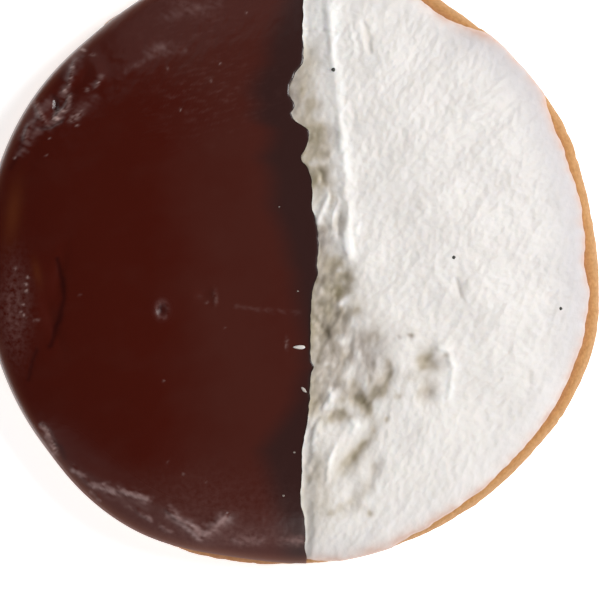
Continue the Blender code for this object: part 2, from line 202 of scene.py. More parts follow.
CHOCOLATE_STROKES = (
    (0.3, -0.4, (-39, 27.2), (-39.2, 25.4)), (0.25, 0.3, (-39.3, 24.9), (-38.9, 24.2)),
    (0.25, 0.28, (-36.6, 28), (-36.9, 26.7), (-37.6, 25.6), (-38.4, 25.2)),
    (0.22, 0.25, (-37.4, 29.1), (-37.9, 28.4)), (0.25, 0.22, (-35.8, 33.9), (-36.6, 31.6), (-37.1, 29.5)),
    (0.25, 0.22, (-32.7, 29.2), (-31.3, 30.6)), (0.4, 0.35, (-42.6, 26.4), (-41.7, 25), (-40.9, 23.6)),
    (0.4, 0.3, (-43.7, 22.6), (-44, 20.6)), (0.25, -0.25, (-41.8, 22.4), (-38.1, 23.8)),
    (0.35, 0.08, (-29.4, 34.2), (-27.5, 33.9)), (0.3, 0.06, (-28.8, 30.6), (-28.8, 28.9)),
    (0.45, -0.07, (-38.8, 0.3), (-38, -2.7), (-37.8, -6.1), (-38.5, -9.4), (-40.1, -13.6)),
    (0.4, -0.06, (-42.1, -14.4), (-43.8, -19.1)), (0.3, 0.14, (-12.5, -4.4), (-12.6, -6.9)),
    (0.25, 0.05, (-9.3, -7.1), (-3, -7.9), (1.4, -8.2)),
    (0.35, 0.3, (-36.1, -34.2), (-33.1, -36.6), (-28.8, -37.7), (-23.8, -39.1)),
    (0.25, 0.25, (-32.4, -38.4), (-31.8, -39.3)), (0.3, 0.28, (-25.6, -41.2), (-23.4, -42.7)),
    (0.3, 0.25, (-21.4, -43.9), (-20.1, -44.4)),
    (0.4, 0.28, (-20.4, -41.1), (-17.6, -43.2), (-15.4, -45.1)),
    (0.4, 0.25, (-14.3, -44.9), (-12.4, -43.4), (-10.9, -41.7)), (0.45, 0.18, (-9.3, -46), (-5.1, -46.2)),
    (0.45, 0.18, (-0.9, -46.1), (1.8, -46.1)),
    (0.35, -0.25, (-41.2, -27.2), (-39.4, -29.6), (-39.2, -31.8)),
)
CRATER = (-21.4, -7.7)  # the ring-shaped bubble in the chocolate
CRATER_RING = (1.0, 1.35)  # its half width and half length
CRATER_RIM = 0.32  # how thick its rim is, as a share of that
CRATER_RISE = 0.07 * MM
CRATER_SHEEN = 0.5
RIPPLE_SHEEN = 0.3
CRATER_DULL = ((*CRATER, 1.7, 2, 0.5),)  # the matt place around it

# ---- Where the finish changes

# Unless they say otherwise, the rows are x, y, half width, half length, strength and any turn.

SHADED_THIN_STRIP = (  # along the seam, where the frosting is thin and painted shade darkens its slope: y, strength, reach from the seam
    (44, 0.08, 3), (38, 0.12, 2.4), (35, 0.45, 2.4), (32, 0.5, 3.2), (29, 0.6, 4.2), (26, 0.55, 4.4),
    (24, 0.45, 5), (22, 0.58, 4.2), (20, 0.6, 4.4), (17, 0.45, 4.8), (15, 0.55, 3.8), (12, 0.32, 3.4),
    (10, 0.22, 3.2), (7, 0.26, 2.6), (5, 0.55, 1.7), (2, 0.36, 3.6), (0, 0.62, 5.2), (-3, 0.6, 6),
    (-6, 0.6, 6.4), (-9, 0.6, 5.8), (-13, 0.56, 5.2), (-16, 0.5, 5.4), (-20, 0.46, 5.8), (-23, 0.42, 5.4),
    (-25, 0.25, 4.6), (-27, 0.1, 4), (-31, 0.06, 4), (-35, 0.12, 4.2), (-39, 0.15, 4.2), (-44, 0.14, 4),
    (-50, 0.1, 3),
)
SHADED_THIN_WHITE = (  # places that are hollowed and thinner, darkened with painted shade, or, below 0, bumps that are thicker
    (4.9, -22.6, 1.8, 1.5, 0.18), (10.7, -22.6, 2.2, 1.6, 0.22), (6.6, 10.6, 0.9, 1.4, 0.35),
    (2.6, 38.9, 1.08, 0.43, 0.14), (4.6, 21.1, 1.3, 1.49, 0.18), (5.7, 18.1, 1.08, 0.69, 0.38),
    (6.6, 18.1, 0.65, 0.65, -0.2), (4.7, 15.1, 1.08, 0.98, 0.32), (3.9, 16.4, 1.3, 0.65, -0.2),
    (6.2, 13.4, 1.08, 0.65, 0.2), (5.9, 10.6, 0.65, 1.2, -0.45), (5.1, 8.8, 0.87, 0.87, -0.5),
    (4.4, 7.4, 0.65, 1.3, -0.6, 20), (7.9, 6.9, 0.78, 1.87, 0.28), (8.9, 6.9, 0.56, 1.68, 0.16),
    (7.2, 8.6, 0.56, 1.68, -0.3, -22), (5.9, 5.9, 1.49, 1.08, 0.12), (8.6, -3.2, 2.24, 2.61, 0.12),
    (9.2, -2.1, 1.08, 1.08, 0.32), (8.2, -4.6, 1.49, 1.3, 0.28), (8.6, -3.2, 0.65, 0.65, -0.32),
    (8.1, -1.1, 0.65, 0.65, -0.5), (8.7, -6.3, 1.4, 0.55, -0.6, 28), (5.1, -2.9, 0.87, 0.65, 0.25),
    (5.1, -4.6, 0.65, 1.08, -0.2), (5.1, -6.7, 0.87, 0.65, 0.2), (5.2, 0.3, 0.65, 0.75, -0.25),
    (8.4, -8.4, 1.52, 0.87, 0.25), (6.4, -8.2, 1.3, 1.3, 0.22), (11.1, -7.6, 0.87, 0.87, 0.25),
    (5.6, -10.7, 0.52, 1.87, 0.5, 32), (4.2, -10.1, 0.43, 1.08, -0.2, 30), (10.6, -10.2, 0.65, 1.2, -0.35),
    (12.7, -9.7, 0.65, 0.98, -0.2), (8.6, -12.9, 0.75, 0.55, -0.4), (14.1, -11.9, 1.08, 0.87, 0.15),
    (11.6, -13.6, 3.36, 5.6, 0.26), (13.9, -17.4, 2.43, 5.6, 0.22), (7.1, -14.7, 0.56, 1.68, 0.16),
    (4.9, -16.2, 0.87, 0.75, 0.28), (5.9, -16.6, 0.61, 0.48, -0.45), (10.1, -15.2, 0.65, 1.08, 0.25),
    (11.1, -15.2, 0.65, 0.98, -0.35), (9.9, -17.6, 1.3, 1.3, -0.22), (14.4, -16.4, 0.52, 1.49, -0.22),
    (13.6, -17.2, 0.43, 1.3, 0.15), (13.1, -19.2, 0.48, 0.87, 0.3), (12.4, -20.1, 0.55, 1.3, -0.3),
    (16.2, -17.4, 0.69, 1.52, 0.5), (15.6, -19.7, 0.82, 1.49, 0.5, -20), (14.6, -21.2, 1.3, 1.08, 0.62),
    (11.6, -22.6, 1.08, 1.68, 0.75, 25), (12.6, -23.6, 0.98, 0.87, 0.35), (10.6, -20.6, 0.87, 1.08, 0.3),
    (13.7, -22.2, 0.87, 0.87, 0.3), (14.1, -23.6, 0.75, 1.08, -0.25), (9.1, -21.6, 2.43, 1.68, 0.2),
    (6.6, -22.2, 0.69, 1.52, -0.75), (5.7, -23.6, 1.08, 1.08, -0.5), (7.6, -21.6, 0.65, 1.08, -0.3),
    (4.6, -22.7, 0.56, 1.49, 0.3, -15), (7.2, -25.4, 1.49, 0.98, 0.6), (8.6, -25.1, 0.87, 1.08, 0.3),
    (10.1, -25.4, 0.65, 0.65, 0.35), (12.6, -24.7, 0.98, 0.98, 0.5), (13.7, -27.6, 0.87, 1.68, 0.34),
    (6.7, -19.9, 1.3, 0.65, 0.2), (4.2, -33.2, 0.98, 2.61, 0.16), (3.2, -35.7, 0.56, 0.56, 0.12),
    (10.3, -32.2, 1, 3.55, 0.46, -38), (12.1, -29.9, 1.08, 0.75, 0.22), (7.6, -33.1, 0.69, 2.05, 0.12, -20),
    (13.9, -34.1, 0.87, 1.49, 0.34), (11.4, -38.9, 0.95, 4, 0.2, -40), (9.7, -39.6, 0.87, 0.87, 0.14),
    (12.9, -36.7, 1.08, 0.87, 0.12), (8.2, -40.7, 0.65, 0.87, 0.35), (11.6, -40.7, 0.87, 0.65, 0.22),
    (6.6, -41.6, 0.87, 0.65, 0.35), (5.2, -40.1, 1.3, 2.05, 0.08), (22.4, -16.2, 1.3, 1.49, 0.48),
    (23.1, -15.4, 2.05, 2.61, 0.2), (23.7, -15.7, 0.52, 0.87, -0.25, -20), (21.7, -17.2, 0.87, 0.87, 0.2),
    (23.9, -17.6, 0.87, 0.98, 0.2), (19.7, -18.6, 1.87, 1.08, 0.18), (22.7, -20.7, 1.68, 1.52, 0.33),
    (22.2, -22.2, 1.08, 1.2, 0.34), (25.7, -15.1, 0.65, 0.55, 0.32), (25.4, -16.9, 1.08, 1.08, 0.16),
    (19.9, -12.1, 0.42, 0.34, 0.55), (18.1, -12.1, 0.32, 0.36, 0.4), (19.2, -11.6, 1.87, 1.08, 0.1),
    (17.7, -22.1, 0.87, 0.43, 0.32), (15.9, -25.9, 0.56, 0.56, 0.42), (13.2, -41.5, 0.65, 0.52, 0.55),
    (12.9, 37.6, 0.56, 2.43, 0.16, 8), (28.1, -4.6, 0.74, 1.68, 0.1, -16), (10.4, -14, 4.5, 5.6, 0.16),
    (5.2, -37, 2.4, 6, 0.08), (6.5, -34.4, 4.33, 7, 0.08), (11.9, -31.9, 2.67, 5, 0.09),
    (39.6, -18.9, 0.74, 1.52, 0.12),
)
MAUVE = (  # where the thin places and their painted shade are greyish rather than olive
    (11.6, -13.6, 4.6, 5.6, 0.8), (13.9, -17.4, 3, 4.6, 0.4), (5.2, -17, 2.6, 6, 0.5),
    (8, -21, 2.6, 2, 0.4), (0.6, 28, 1.2, 5.6, 0.8), (6.6, 21, 0.9, 5, 0.6), (5.6, 4.6, 2.6, 3, 0.8),
    (4, -2, 1.6, 5, 0.5), (14, -33.6, 1.2, 4, 0.6), (22.4, -22.2, 1.4, 1.2, 0.6),
    (25.4, -16.8, 1.2, 1.4, 0.8), (19.2, -12.2, 2.2, 1, 0.8),
)
PAINTED_HIGHLIGHTS = (  # painted highlights: where the frosting is painted whiter, on its crest and on slopes in shade
    (4, 40.5, 2.6, 5.5, 0.8), (7, 36, 0.6, 6, 0.6, -4), (8.2, 25, 0.55, 5, 0.6, -6),
    (7.1, 41.5, 1.1, 3.6, 0.8), (8, 29, 0.8, 5, 0.45, -8), (7.1, 36.9, 1.53, 6.9, 0.4),
    (6.4, 39.8, 0.94, 0.94, 0.4), (10.2, 37.9, 0.56, 1.92, 0.5, 10), (8.9, 19.4, 1.08, 3.45, 0.95, -3),
    (9.2, 15.9, 0.84, 1.92, 0.8), (9.6, 7.6, 0.35, 2.5, 0.6), (9.6, 3.1, 0.84, 2.1, 0.9),
    (9.6, 2.2, 0.9, 1.6, 0.6), (11.1, 5.6, 0.7, 1.29, 0.6), (5.9, 10.4, 0.46, 0.81, 0.5),
    (5.1, 8.8, 0.56, 0.56, 0.4), (10.5, -26.9, 0.94, 1.29, 0.95, -20), (6.7, -32.4, 0.7, 2.3, 0.85, -8),
    (3.7, -29.4, 0.74, 1.92, 0.6), (9.8, -28.2, 0.46, 0.46, 0.4), (25.3, -14.1, 1.08, 0.7, 0.9, 25),
    (26.9, -17.4, 0.94, 1.92, 0.75, -14), (26.2, -21.2, 0.94, 1.72, 0.75), (17.1, -31.9, 0.7, 1.4, 0.4),
    (14.6, -37.2, 0.7, 1.16, 0.4), (12.9, -39.4, 0.56, 0.94, 0.5), (6.6, -22.4, 0.46, 0.94, 0.3),
    (27.4, -11.1, 0.94, 0.7, 0.3, -30),
)
SPECKS = (  # dark specks in the frosting: x, y, radius
    (7.1, 32.2, 0.33), (27.1, 1, 0.3), (44.9, -7.5, 0.27),
)
FLECKS_AND_GLINTS = (  # torn, dried edges and specks in the chocolate, with painted glints
    (-40.7, -27.9, 0.32, 1.1, 0.55, 23), (-39.5, -30.4, 0.4, 1.4, 0.6, 23),
    (-35.6, 24.6, 1.17, 0.6, 0.36, 40), (-38.9, 24.2, 0.65, 0.24, 0.95), (-39.1, 24.6, 0.39, 0.6, 0.95),
    (-37.6, 28.8, 0.36, 0.34, 0.84), (-36.8, 27.4, 0.29, 0.78, 0.72), (-37.8, 25.4, 1.1, 0.36, 0.54, 20),
    (-36.4, 32.9, 0.29, 0.26, 0.6), (-36.6, 31.2, 0.21, 2.4, 0.42, -16), (-32, 29.9, 0.18, 0.9, 0.55, -45),
    (-34.1, 28.8, 0.33, 0.3, 0.42), (-33, 34.8, 0.5, 0.2, 0.4), (-34.6, 35.6, 0.39, 0.36, 0.6),
    (-41.8, 25.2, 0.45, 2.04, 0.36, 30), (-43.9, 21.4, 0.35, 1.2, 0.25), (-36.1, 23.8, 0.23, 0.22, 0.48),
    (-35.4, 23, 0.23, 0.22, 0.48), (-40.3, 20.8, 0.18, 0.18, 0.4), (-45.9, 17.8, 0.22, 0.22, 0.4),
    (-40.8, 17.9, 0.16, 0.16, 0.35), (-13.5, 30.6, 0.2, 0.2, 0.35), (-20.6, 32.3, 0.2, 0.2, 0.3),
    (-7.5, 41.9, 0.2, 0.2, 0.4), (-18.3, 25.6, 0.18, 0.18, 0.3), (-11.5, 33.1, 0.18, 0.18, 0.3),
    (-46, -0.7, 0.3, 0.3, 0.5), (-43.6, -2.2, 0.28, 0.28, 0.6), (-44, -3.4, 0.28, 0.28, 0.55),
    (-44.1, -4.6, 0.35, 0.35, 0.5), (-44.5, -6.9, 0.25, 0.25, 0.55), (-44.8, -8.2, 0.25, 0.25, 0.5),
    (-44.3, -8.9, 0.25, 0.25, 0.5), (-42.3, -9.4, 0.5, 0.2, 0.4), (-35, -5.1, 0.2, 0.2, 0.4),
    (-13.8, -6.4, 0.25, 0.2, 0.25), (-12.5, -5.6, 0.3, 1.2, 0.12), (-20.4, -33.1, 0.18, 0.18, 0.4),
    (-17.8, -35.1, 0.2, 0.2, 0.35), (-14.1, -36.1, 0.18, 0.18, 0.35), (-20.9, -19.7, 0.18, 0.18, 0.3),
    (-10.9, -10.7, 0.16, 0.16, 0.25), (-0.6, -13.4, 0.25, 0.8, 0.3),
)
SHADED_CREASES = (  # painted shade in dark red creases and the bubble's pit: half width, strength, then the points
    (0.45, 0.8, (-38.8, 0.9), (-38, -2.7), (-37.8, -6.1), (-38.5, -9.4), (-40.1, -13.6)),
    (0.35, 0.6, (-42.1, -14.4), (-43.8, -19.1)), (0.55, 0.9, (-39.2, 27.6), (-39, 25.4)),
    (0.35, 0.7, (-42.4, 22.2), (-40.4, 23), (-38.1, 23.9)), (0.4, 0.5, (-38.4, 31), (-37.4, 33.4)),
    (0.4, 0.5, (-46.4, 16), (-44.4, 20.6)), (0.4, 0.6, (-40.6, -29), (-38.2, -30.6), (-37.6, -32.4)),
    (0.35, 0.9, (-21.4, -7.4), (-21.4, -8)),
)
PAINTED_GLEAMS = (  # painted highlights, smooth light streaks: half width, strength, then the points
    (0.45, 0.95, (-36.1, -34.2), (-33.1, -36.6), (-30.8, -37.2)),
    (0.65, 0.95, (-30.4, -37.4), (-26.8, -38.2), (-23.8, -39.3)), (0.8, 0.1, (-33, -37.6), (-24, -40.8)),
    (0.3, 0.4, (-33.6, -38), (-31.8, -39.6)), (0.35, 0.5, (-27, -40.6), (-23.4, -42.7)),
    (0.35, 0.45, (-22, -43.6), (-20, -44.5)), (0.75, 0.95, (-20.2, -41.3), (-17.6, -43.2), (-15.4, -44.9)),
    (0.8, 0.95, (-15.2, -45), (-12.6, -43.6), (-11.3, -42.2)), (1.4, 0.22, (-13.4, -45), (-10.6, -43)),
    (0.7, 0.35, (-9.3, -46), (-5.1, -46.2)), (0.7, 0.35, (-1.9, -46.2), (1.6, -46.1)),
    (0.4, 0.6, (-41.2, -27.4), (-40.2, -29.6), (-39.4, -31.6)),
    (0.8, 0.32, (-44.3, 21), (-42.2, 24.6), (-40.4, 27)),
    (0.7, 0.3, (-38, 27.8), (-36.7, 31.6), (-35.6, 34.4)),
    (0.6, 0.3, (-38.2, 24), (-41.4, 22.6), (-45.2, 18.4)),
    (0.55, 0.45, (-36.5, 27.6), (-37, 26.2), (-38.8, 24.2)), (0.5, 0.28, (-33, 29.4), (-31.2, 31.2)),
    (0.8, 0.16, (-35, 25.6), (-32.6, 27.6)), (0.8, 0.25, (-23.6, 35), (-21.2, 36)),
    (0.4, 0.18, (-27.4, 32.2), (-22.6, 34.4), (-17.6, 35.4)), (0.8, 0.16, (-21, 41), (-12, 43.6)),
    (0.3, 0.1, (-9.3, -7.1), (-3, -7.9), (1.4, -8.2)),
)
WARM = ((-46.2, 8.4, 1.3, 5, 0.6, -8), (-42.2, -1.4, 0.7, 2.2, 0.45, 12))  # thin and orange, at the rim
SHEEN = (  # where the chocolate is grainy, with a painted sheen that looks smeared and greyish
    (-46, -7.5, 2.4, 7, 0.7), (-22.4, 35.4, 1.2, 1, 0.35), (-19.8, 36.4, 2.6, 0.7, 0.2, -16),
    (-25.1, 33, 1, 0.4, 0.25), (-16.8, 42.6, 4.2, 1.2, 0.3, -22), (-34.6, 26.4, 1, 1.2, 0.18),
    (-7.2, -46.1, 2.8, 0.9, 0.5), (0.5, -46.1, 1.8, 0.8, 0.5), (-40, -29.4, 0.9, 2.5, 0.15, -10),
    (-10, -45, 11, 1.8, 0.22), (-14, -41, 13, 6, 0.2),
)
RIPPLED = ((-14.5, 29, 9, 7, 0.9), (-16, 41, 9, 5, 0.5))  # where it is finely rippled
SEAM_SHADOW_BAND = (  # the frosting's painted shadow, a dark band in the chocolate beside the seam: y, reach from the seam
    (44, 3), (36, 6.2), (20, 6.4), (10, 7), (2, 5.4), (-6, 2.6), (-14, 0.8), (-23, 2.6), (-31, 7),
    (-39, 4.6), (-46, 3.4),
)
SEAM_SHADOW_FADE = 5.5 * MM
CHOCOLATE_RIM = 1.0 * MM  # the width of its thin edge by the rim
DULL_WIDTH = 5.5 * MM  # of the matt stretch along the rim
DULL_ENDS = ((208, 20), (285, -12))  # the directions of its ends, and the degrees over which it grows there
CONTACT_SHADOW = (  # the painted contact shadow, a darker line against the frosting: y, strength
    (43, 0.5), (34, 0.8), (28, 0.3), (0, 0.3), (-4, 0.9), (-26, 0.9), (-32, 0.3), (-50, 0.2),
)
CONTACT_SHADOW_WIDTH = 0.38 * MM
CRUMBS = (  # bits of frosting on the chocolate: x, y, half length, half width, turn, thinness
    (1.5, -13.9, 1, 0.33, 0, 0.2), (2.2, -21, 0.6, 0.26, -48, 0.5), (0.6, -31.4, 0.2, 0.16, 0, 0.95),
    (-1.2, -38.6, 0.2, 0.16, 0, 0.9), (1.2, -4.6, 0.16, 0.12, 0, 0.9), (-1.9, 9.4, 0.14, 0.12, 0, 1),
)

FRINGE_EDGE = (0.42, 0.4 * MM)  # the crust's tint in the frosting's edge: its strength and width
FRINGE_PATCHES = (0.5, 1.1 * MM)
FRINGE_LIMIT = 0.9
STAINED_RIM = ((292, 9, 0.75), (51, 4, 0.65), (33, 2.5, 0.45))  # direction, spread, strength of more tint
STAIN_WIDTH = 1.5 * MM
STAIN_EVENNESS = 0.5

SHADE_BORDER_WIDTH = 4.6 * MM  # the frosting's border of painted shade
SHADE_BORDER_STRENGTH = 0.9
SHADE_BORDER_BASE = 0.45
SHADE_BORDER_TURNS = ((-32, 30, 0.5), (48, 14, -0.7))  # direction, the degrees over which it changes, by how much
SHADE_WAY = math.radians(25)  # painted shade: the frosting is also slightly greyer this way
SHADE_DRIFT = 0.2

REFLECTION_SEAM = (-25 * MM, 16 * MM)  # where the painted grey reflection on the chocolate begins, and over what length it grows
REFLECTION_ENDS = ((26 * MM, 16 * MM), (-30 * MM, -12 * MM))
REFLECTION_LIMIT = 1.2
MAUVE_BASE = 0.15
SHADED_THIN_EDGE = (0.35, 0.7 * MM)  # the thinner edge of the frosting's strip by the seam, darkened with it: share, width

# ---- Colours

WHITE_COLOUR = (0.870, 0.832, 0.795)
OLIVE_STOPS = ((0.5, (0.535, 0.462, 0.355)), (1, (0.270, 0.228, 0.135)))  # where it is half or wholly thin and in painted shade
MAUVE_STOPS = ((0.5, (0.535, 0.475, 0.425)), (1, (0.270, 0.225, 0.195)))
WHITE_TINTS = (  # attribute, colour
    # painted highlights
    ("painted_highlight", (0.98, 0.96, 0.93)),
    # painted shade towards the rim
    ("border", (0.590, 0.563, 0.572)),
    ("rim", (0.60, 0.395, 0.315)),
)
CHOCOLATE_COLOUR = (0.062, 0.0064, 0.0029)
CHOCOLATE_TINTS = (
    # painted grey reflection
    ("painted_reflection", (0.0700, 0.0146, 0.0098)),
    # painted shadow of the frosting
    ("seam_shadow", (0.0375, 0.0138, 0.0120)),
    # painted contact shadow
    ("contact_shadow", (0.020, 0.010, 0.008)),
    ("warm", (0.120, 0.027, 0.007)),
    # painted shade in the creases
    ("crease_shade", (0.028, 0.0030, 0.0022)),
)
THIN_CHOCOLATE = (0.24, 0.090, 0.055)  # at its edge by the rim
THIN_CHOCOLATE_SHARE = 0.5
# the colour of the painted sheen
PAINTED_SHEEN_COLOUR = (0.19, 0.092, 0.082)
# painted highlights, and dried flecks with painted glints
GLEAM_AND_FLECK_TINTS = (("painted_gleam", (0.26, 0.155, 0.145)), ("fleck_and_glint", (0.50, 0.34, 0.31)))
CHOCOLATE_ROUGHNESS = 0.2
MATT_ROUGHNESS = 0.52  # how much rougher it is where it is wholly dull
FLECK_MATT = 0.7
CRUST_STOPS = (  # brownness, colour
    (0, (0.62, 0.36, 0.172)),
    (0.3, (0.53, 0.265, 0.096)),
    (0.65, (0.42, 0.175, 0.070)),
    (1, (0.25, 0.095, 0.040)),
)
CRUMB_SHADE = (0.78, 0.74, 0.68)
SPECK_COLOUR = (0.055, 0.055, 0.048)
FLOOR_TONE = 0.92

# ---- Light and camera

LIGHT_DISTANCE = 1.1
LIGHTS = (  # name, direction, elevation, watts, side
    ("key", 20, 52, 9.8, 0.40),
    ("back", 110, 42, 0.5, 0.72),
    ("front_left", 232, 27, 0.8, 0.28),
    ("front", 290, 40, 2.3, 0.4),
)
SKY_GLOW = 0.05  # overhead
HORIZON_GLOW = 0.95
HORIZON_BAND = (0.08, 0.32)  # the heights of the view's direction between which it fades
FLOOR_GLOW = 0.72
FLOOR_REACH = 2.0
CAMERA_HEIGHT = 3.0
CAMERA_OVER = (1.55 * MM, -6.07 * MM)
FRAMED_WIDTH = 100 * MM
FRAMED_HEIGHT = 6 * MM  # the level at which the frame has that width
SENSOR_WIDTH = 36

# ---- Mesh fineness

ICING_COLUMNS = 190
ICING_ROWS = 400
REACH_ROUNDS = 6  # of nearing the icing's outline
SHOULDER_TURNS = (18, 38, 60, 78, 90)  # degrees round the edge, from the shoulder to the belly
BELLY_TURNS = (30, 60, 90)  # and on from the belly to the lip
UNDERSIDE_RINGS = (0.93, 0.8, 0.6, 0.33)
CRUST_SEGMENTS = 960
CRUST_DOME = 8
CRUST_SHOULDER = 14
CRUST_SHOULDER_START = 0.9  # shares of the radius, as are the next two
CRUST_DOME_ENDS = (0.12, 0.995)
CRUST_RELIEF_REACH = 0.06
CRUST_SIDE = 26
CRUST_FOOT = 12

CRUST_LUMPS = ((50, 0.14, 31), (120, 0.17, 32), (230, 0.12, 33))  # waves round the side, depth, seed
CRUST_PITS = (150, 0.4, 34, 0.35)  # the same, and from what strength of the noise they are sunk
CRUST_RAISED = 0.65  # how far its highest lumps stand out of the solid, as a share of their mean depth
CRUST_WAIST_BROWN = 0.08  # how brown the crust is at its widest line
CRUST_INNER_BROWN_AND_SHADE = 0.5  # and how much more so next to the icings, browner with painted shade under their edge
CRUST_CHOCOLATE_SIDE_BROWN = 0.4  # and under the chocolate
CRUST_BROWN_REACH = 0.05  # the share of the radius over which it browns inwards
CRUST_LOW_BROWN = 0.7  # how much browner it grows down to the foot
UNDERSIDE_BROWN = 0.9
UNDERSIDE_RELIEF = 0.5
CROWN_BROWN = 0.15
LUMP_SUBDIVISIONS = 3
LUMP_ROUGHNESS = 0.06
CRUMB_RISE = 0.8  # a crumb's half height, as a share of its half width
SPECK_RISE = 0.9

NOISE_LATTICE = 256
NOISE_GAIN = 1.45


# ---- Noise and marks


def bell(distance, spread, power=2):
    """1 in the middle, falling off over the spread."""
    return np.exp(-np.abs(distance / spread) ** power)


def smooth_step(t):
    t = np.clip(t, 0, 1)
    return t * t * (3 - 2 * t)


def rises(value, start, over):
    """0 up to the start, easing to 1 over a length, which is below 0 for a rise the other way."""
    return smooth_step((value - start) / over)


def noise(u, v, seed, period=NOISE_LATTICE):
    """Smooth noise from about -1 to 1, one lump a unit. It repeats along u after the period."""
    lattice = np.random.default_rng(seed).uniform(0, math.tau, (period, NOISE_LATTICE))
    column = np.floor(u).astype(int)
    row = np.floor(v).astype(int)
    u = u - column
    v = v - row

    def pull(i, j):
        angle = lattice[(column + i) % period, (row + j) % NOISE_LATTICE]
        return np.cos(angle) * (u - i) + np.sin(angle) * (v - j)

    ease_u = u**3 * (u * (6 * u - 15) + 10)
    ease_v = v**3 * (v * (6 * v - 15) + 10)
    near = pull(0, 0) + ease_u * (pull(1, 0) - pull(0, 0))
    far = pull(0, 1) + ease_u * (pull(1, 1) - pull(0, 1))
    return NOISE_GAIN * (near + ease_v * (far - near))


def line_noise(u, seed, period=NOISE_LATTICE):
    return noise(u, np.full_like(u, 0.5), seed, period)


def streaks(x, y, length, width, direction, seed):
    """Noise drawn out along a direction, with the length and width of a lump in millimetres."""
    way = math.radians(direction)
    along = x * math.cos(way) + y * math.sin(way)
    across = y * math.cos(way) - x * math.sin(way)
    return noise(along / (length * MM), across / (width * MM), seed)


def layers(x, y, table):
    """The weighted sum of a table's streaks."""
    return sum(weight * streaks(x, y, *shape) for weight, *shape in table)


def marks(x, y, table):
    """The sum of a table's bells: x, y, half width, half length, height, and a turn where it has one."""
    total = np.zeros_like(x)
    for place_x, place_y, width, length, height, *turned in table:
        turn = math.radians(turned[0]) if turned else 0
        dx = x / MM - place_x
        dy = y / MM - place_y
        across = (math.cos(turn) * dx + math.sin(turn) * dy) / width
        along = (math.cos(turn) * dy - math.sin(turn) * dx) / length
        total = total + height * np.exp(-(across**2) - along**2)
    return total


def along_y(y, table):
    """The columns of a table after its first, which is the place along Y, at a place along Y."""
    places, *columns = np.array(table[::-1]).T
    return [np.interp(y / MM, places, column) for column in columns]


def wavered(x, y):
    """Places moved a little to and fro, so that a mark's outline isn't even."""
    move_x = sum(reach * MM * streaks(x, y, size, size, 0, seed) for size, reach, seed in WARPS)
    move_y = sum(reach * MM * streaks(x, y, size, size, 0, seed + 1) for size, reach, seed in WARPS)
    return x + move_x, y + move_y


def distance_to(x, y, points):
    """How far places are from the line through the points, in millimetres."""
    nearest = np.full_like(x, np.inf)
    for (start_x, start_y), (end_x, end_y) in zip(points, points[1:]):
        run_x = end_x - start_x
        run_y = end_y - start_y
        dx = x / MM - start_x
        dy = y / MM - start_y
        t = np.clip((dx * run_x + dy * run_y) / (run_x**2 + run_y**2), 0, 1)
        nearest = np.minimum(nearest, np.hypot(dx - t * run_x, dy - t * run_y))
    return nearest


def strokes(x, y, table):
    """Ridges and grooves along the lines of a table, in metres."""
    total = np.zeros_like(x)
    for width, height, *points in table:
        total = total + height * MM * bell(distance_to(x, y, points), width)
    return total


def waves(x, y, table):
    total = np.zeros_like(x)
    for length, direction, height in table:
        way = math.radians(direction)
        run = (x * math.cos(way) + y * math.sin(way)) / (length * MM)
        total = total + height * MM * np.sin(math.tau * run + length)
    return total


# ---- The outline, the dome and the seam


def swells(angle, table):
    """The sum of a table's (direction, spread, rise) at an angle in radians."""
    total = np.zeros_like(angle)
    for direction, spread, rise in table:
        turn = (np.degrees(angle) - direction + 180) % 360 - 180
        total = total + rise * MM * bell(turn, spread * math.sqrt(2))
    return total


def outline_radius(angle):
    return RIM_RADIUS + swells(angle, RIM_SWELLS)


def chocolate_share(angle):
    return 1 / (1 + np.exp(SHARE_STEEPNESS * (np.cos(angle) - SEAM_X / RIM_RADIUS)))


def cookie_radius(angle):
    bared = np.minimum(swells(angle, CHOCOLATE_INSETS), CHOCOLATE_TUCK)
    return outline_radius(angle) - chocolate_share(angle) * (CHOCOLATE_TUCK - bared)


def icing_radius(angle, side):
    if side == CHOCOLATE:
        return outline_radius(angle) - swells(angle, CHOCOLATE_INSETS)
    inset = WHITE_INSET + swells(angle, WHITE_INSETS)
    for cells, depth, seed in RIM_RAGS:
        inset = inset + depth * MM * line_noise(angle / math.tau * cells, seed, cells)
    return outline_radius(angle) - np.maximum(inset, 0)


def dome_height(x, y, limit=None):
    """The top of the baked cookie. Towards the limit, a share of its radius, it levels off softly."""
    share = np.minimum(np.hypot(x, y) / cookie_radius(np.arctan2(y, x)), 1)
    if limit:
        share = limit - LEVEL_EASE * np.log1p(np.exp((limit - share) / LEVEL_EASE))
    return WAIST_HEIGHT + DOME_RISE * (1 - share**DOME_FULLNESS) ** DOME_ROUNDING


def seam_x(y):
    x = np.full_like(y, SEAM_X)
    for place, length, lean, power in SEAM_LOBES + SEAM_NICKS:
        x = x + lean * MM * bell(y - place * MM, length * MM, power)
    for length, depth, seed in SEAM_RAGS:
        x = x + depth * MM * line_noise(y / (length * MM), seed)
    return x


def icing_reach(angle, side):
    """From the middle of the seam to the icing's outline, which is given about the cookie's middle."""
    reach = np.full_like(angle, RIM_RADIUS)
    for _ in range(REACH_ROUNDS):
        x = SEAM_X + reach * np.cos(angle)
        y = reach * np.sin(angle)
        reach = reach * icing_radius(np.arctan2(y, x), side) / np.hypot(x, y)
    return reach


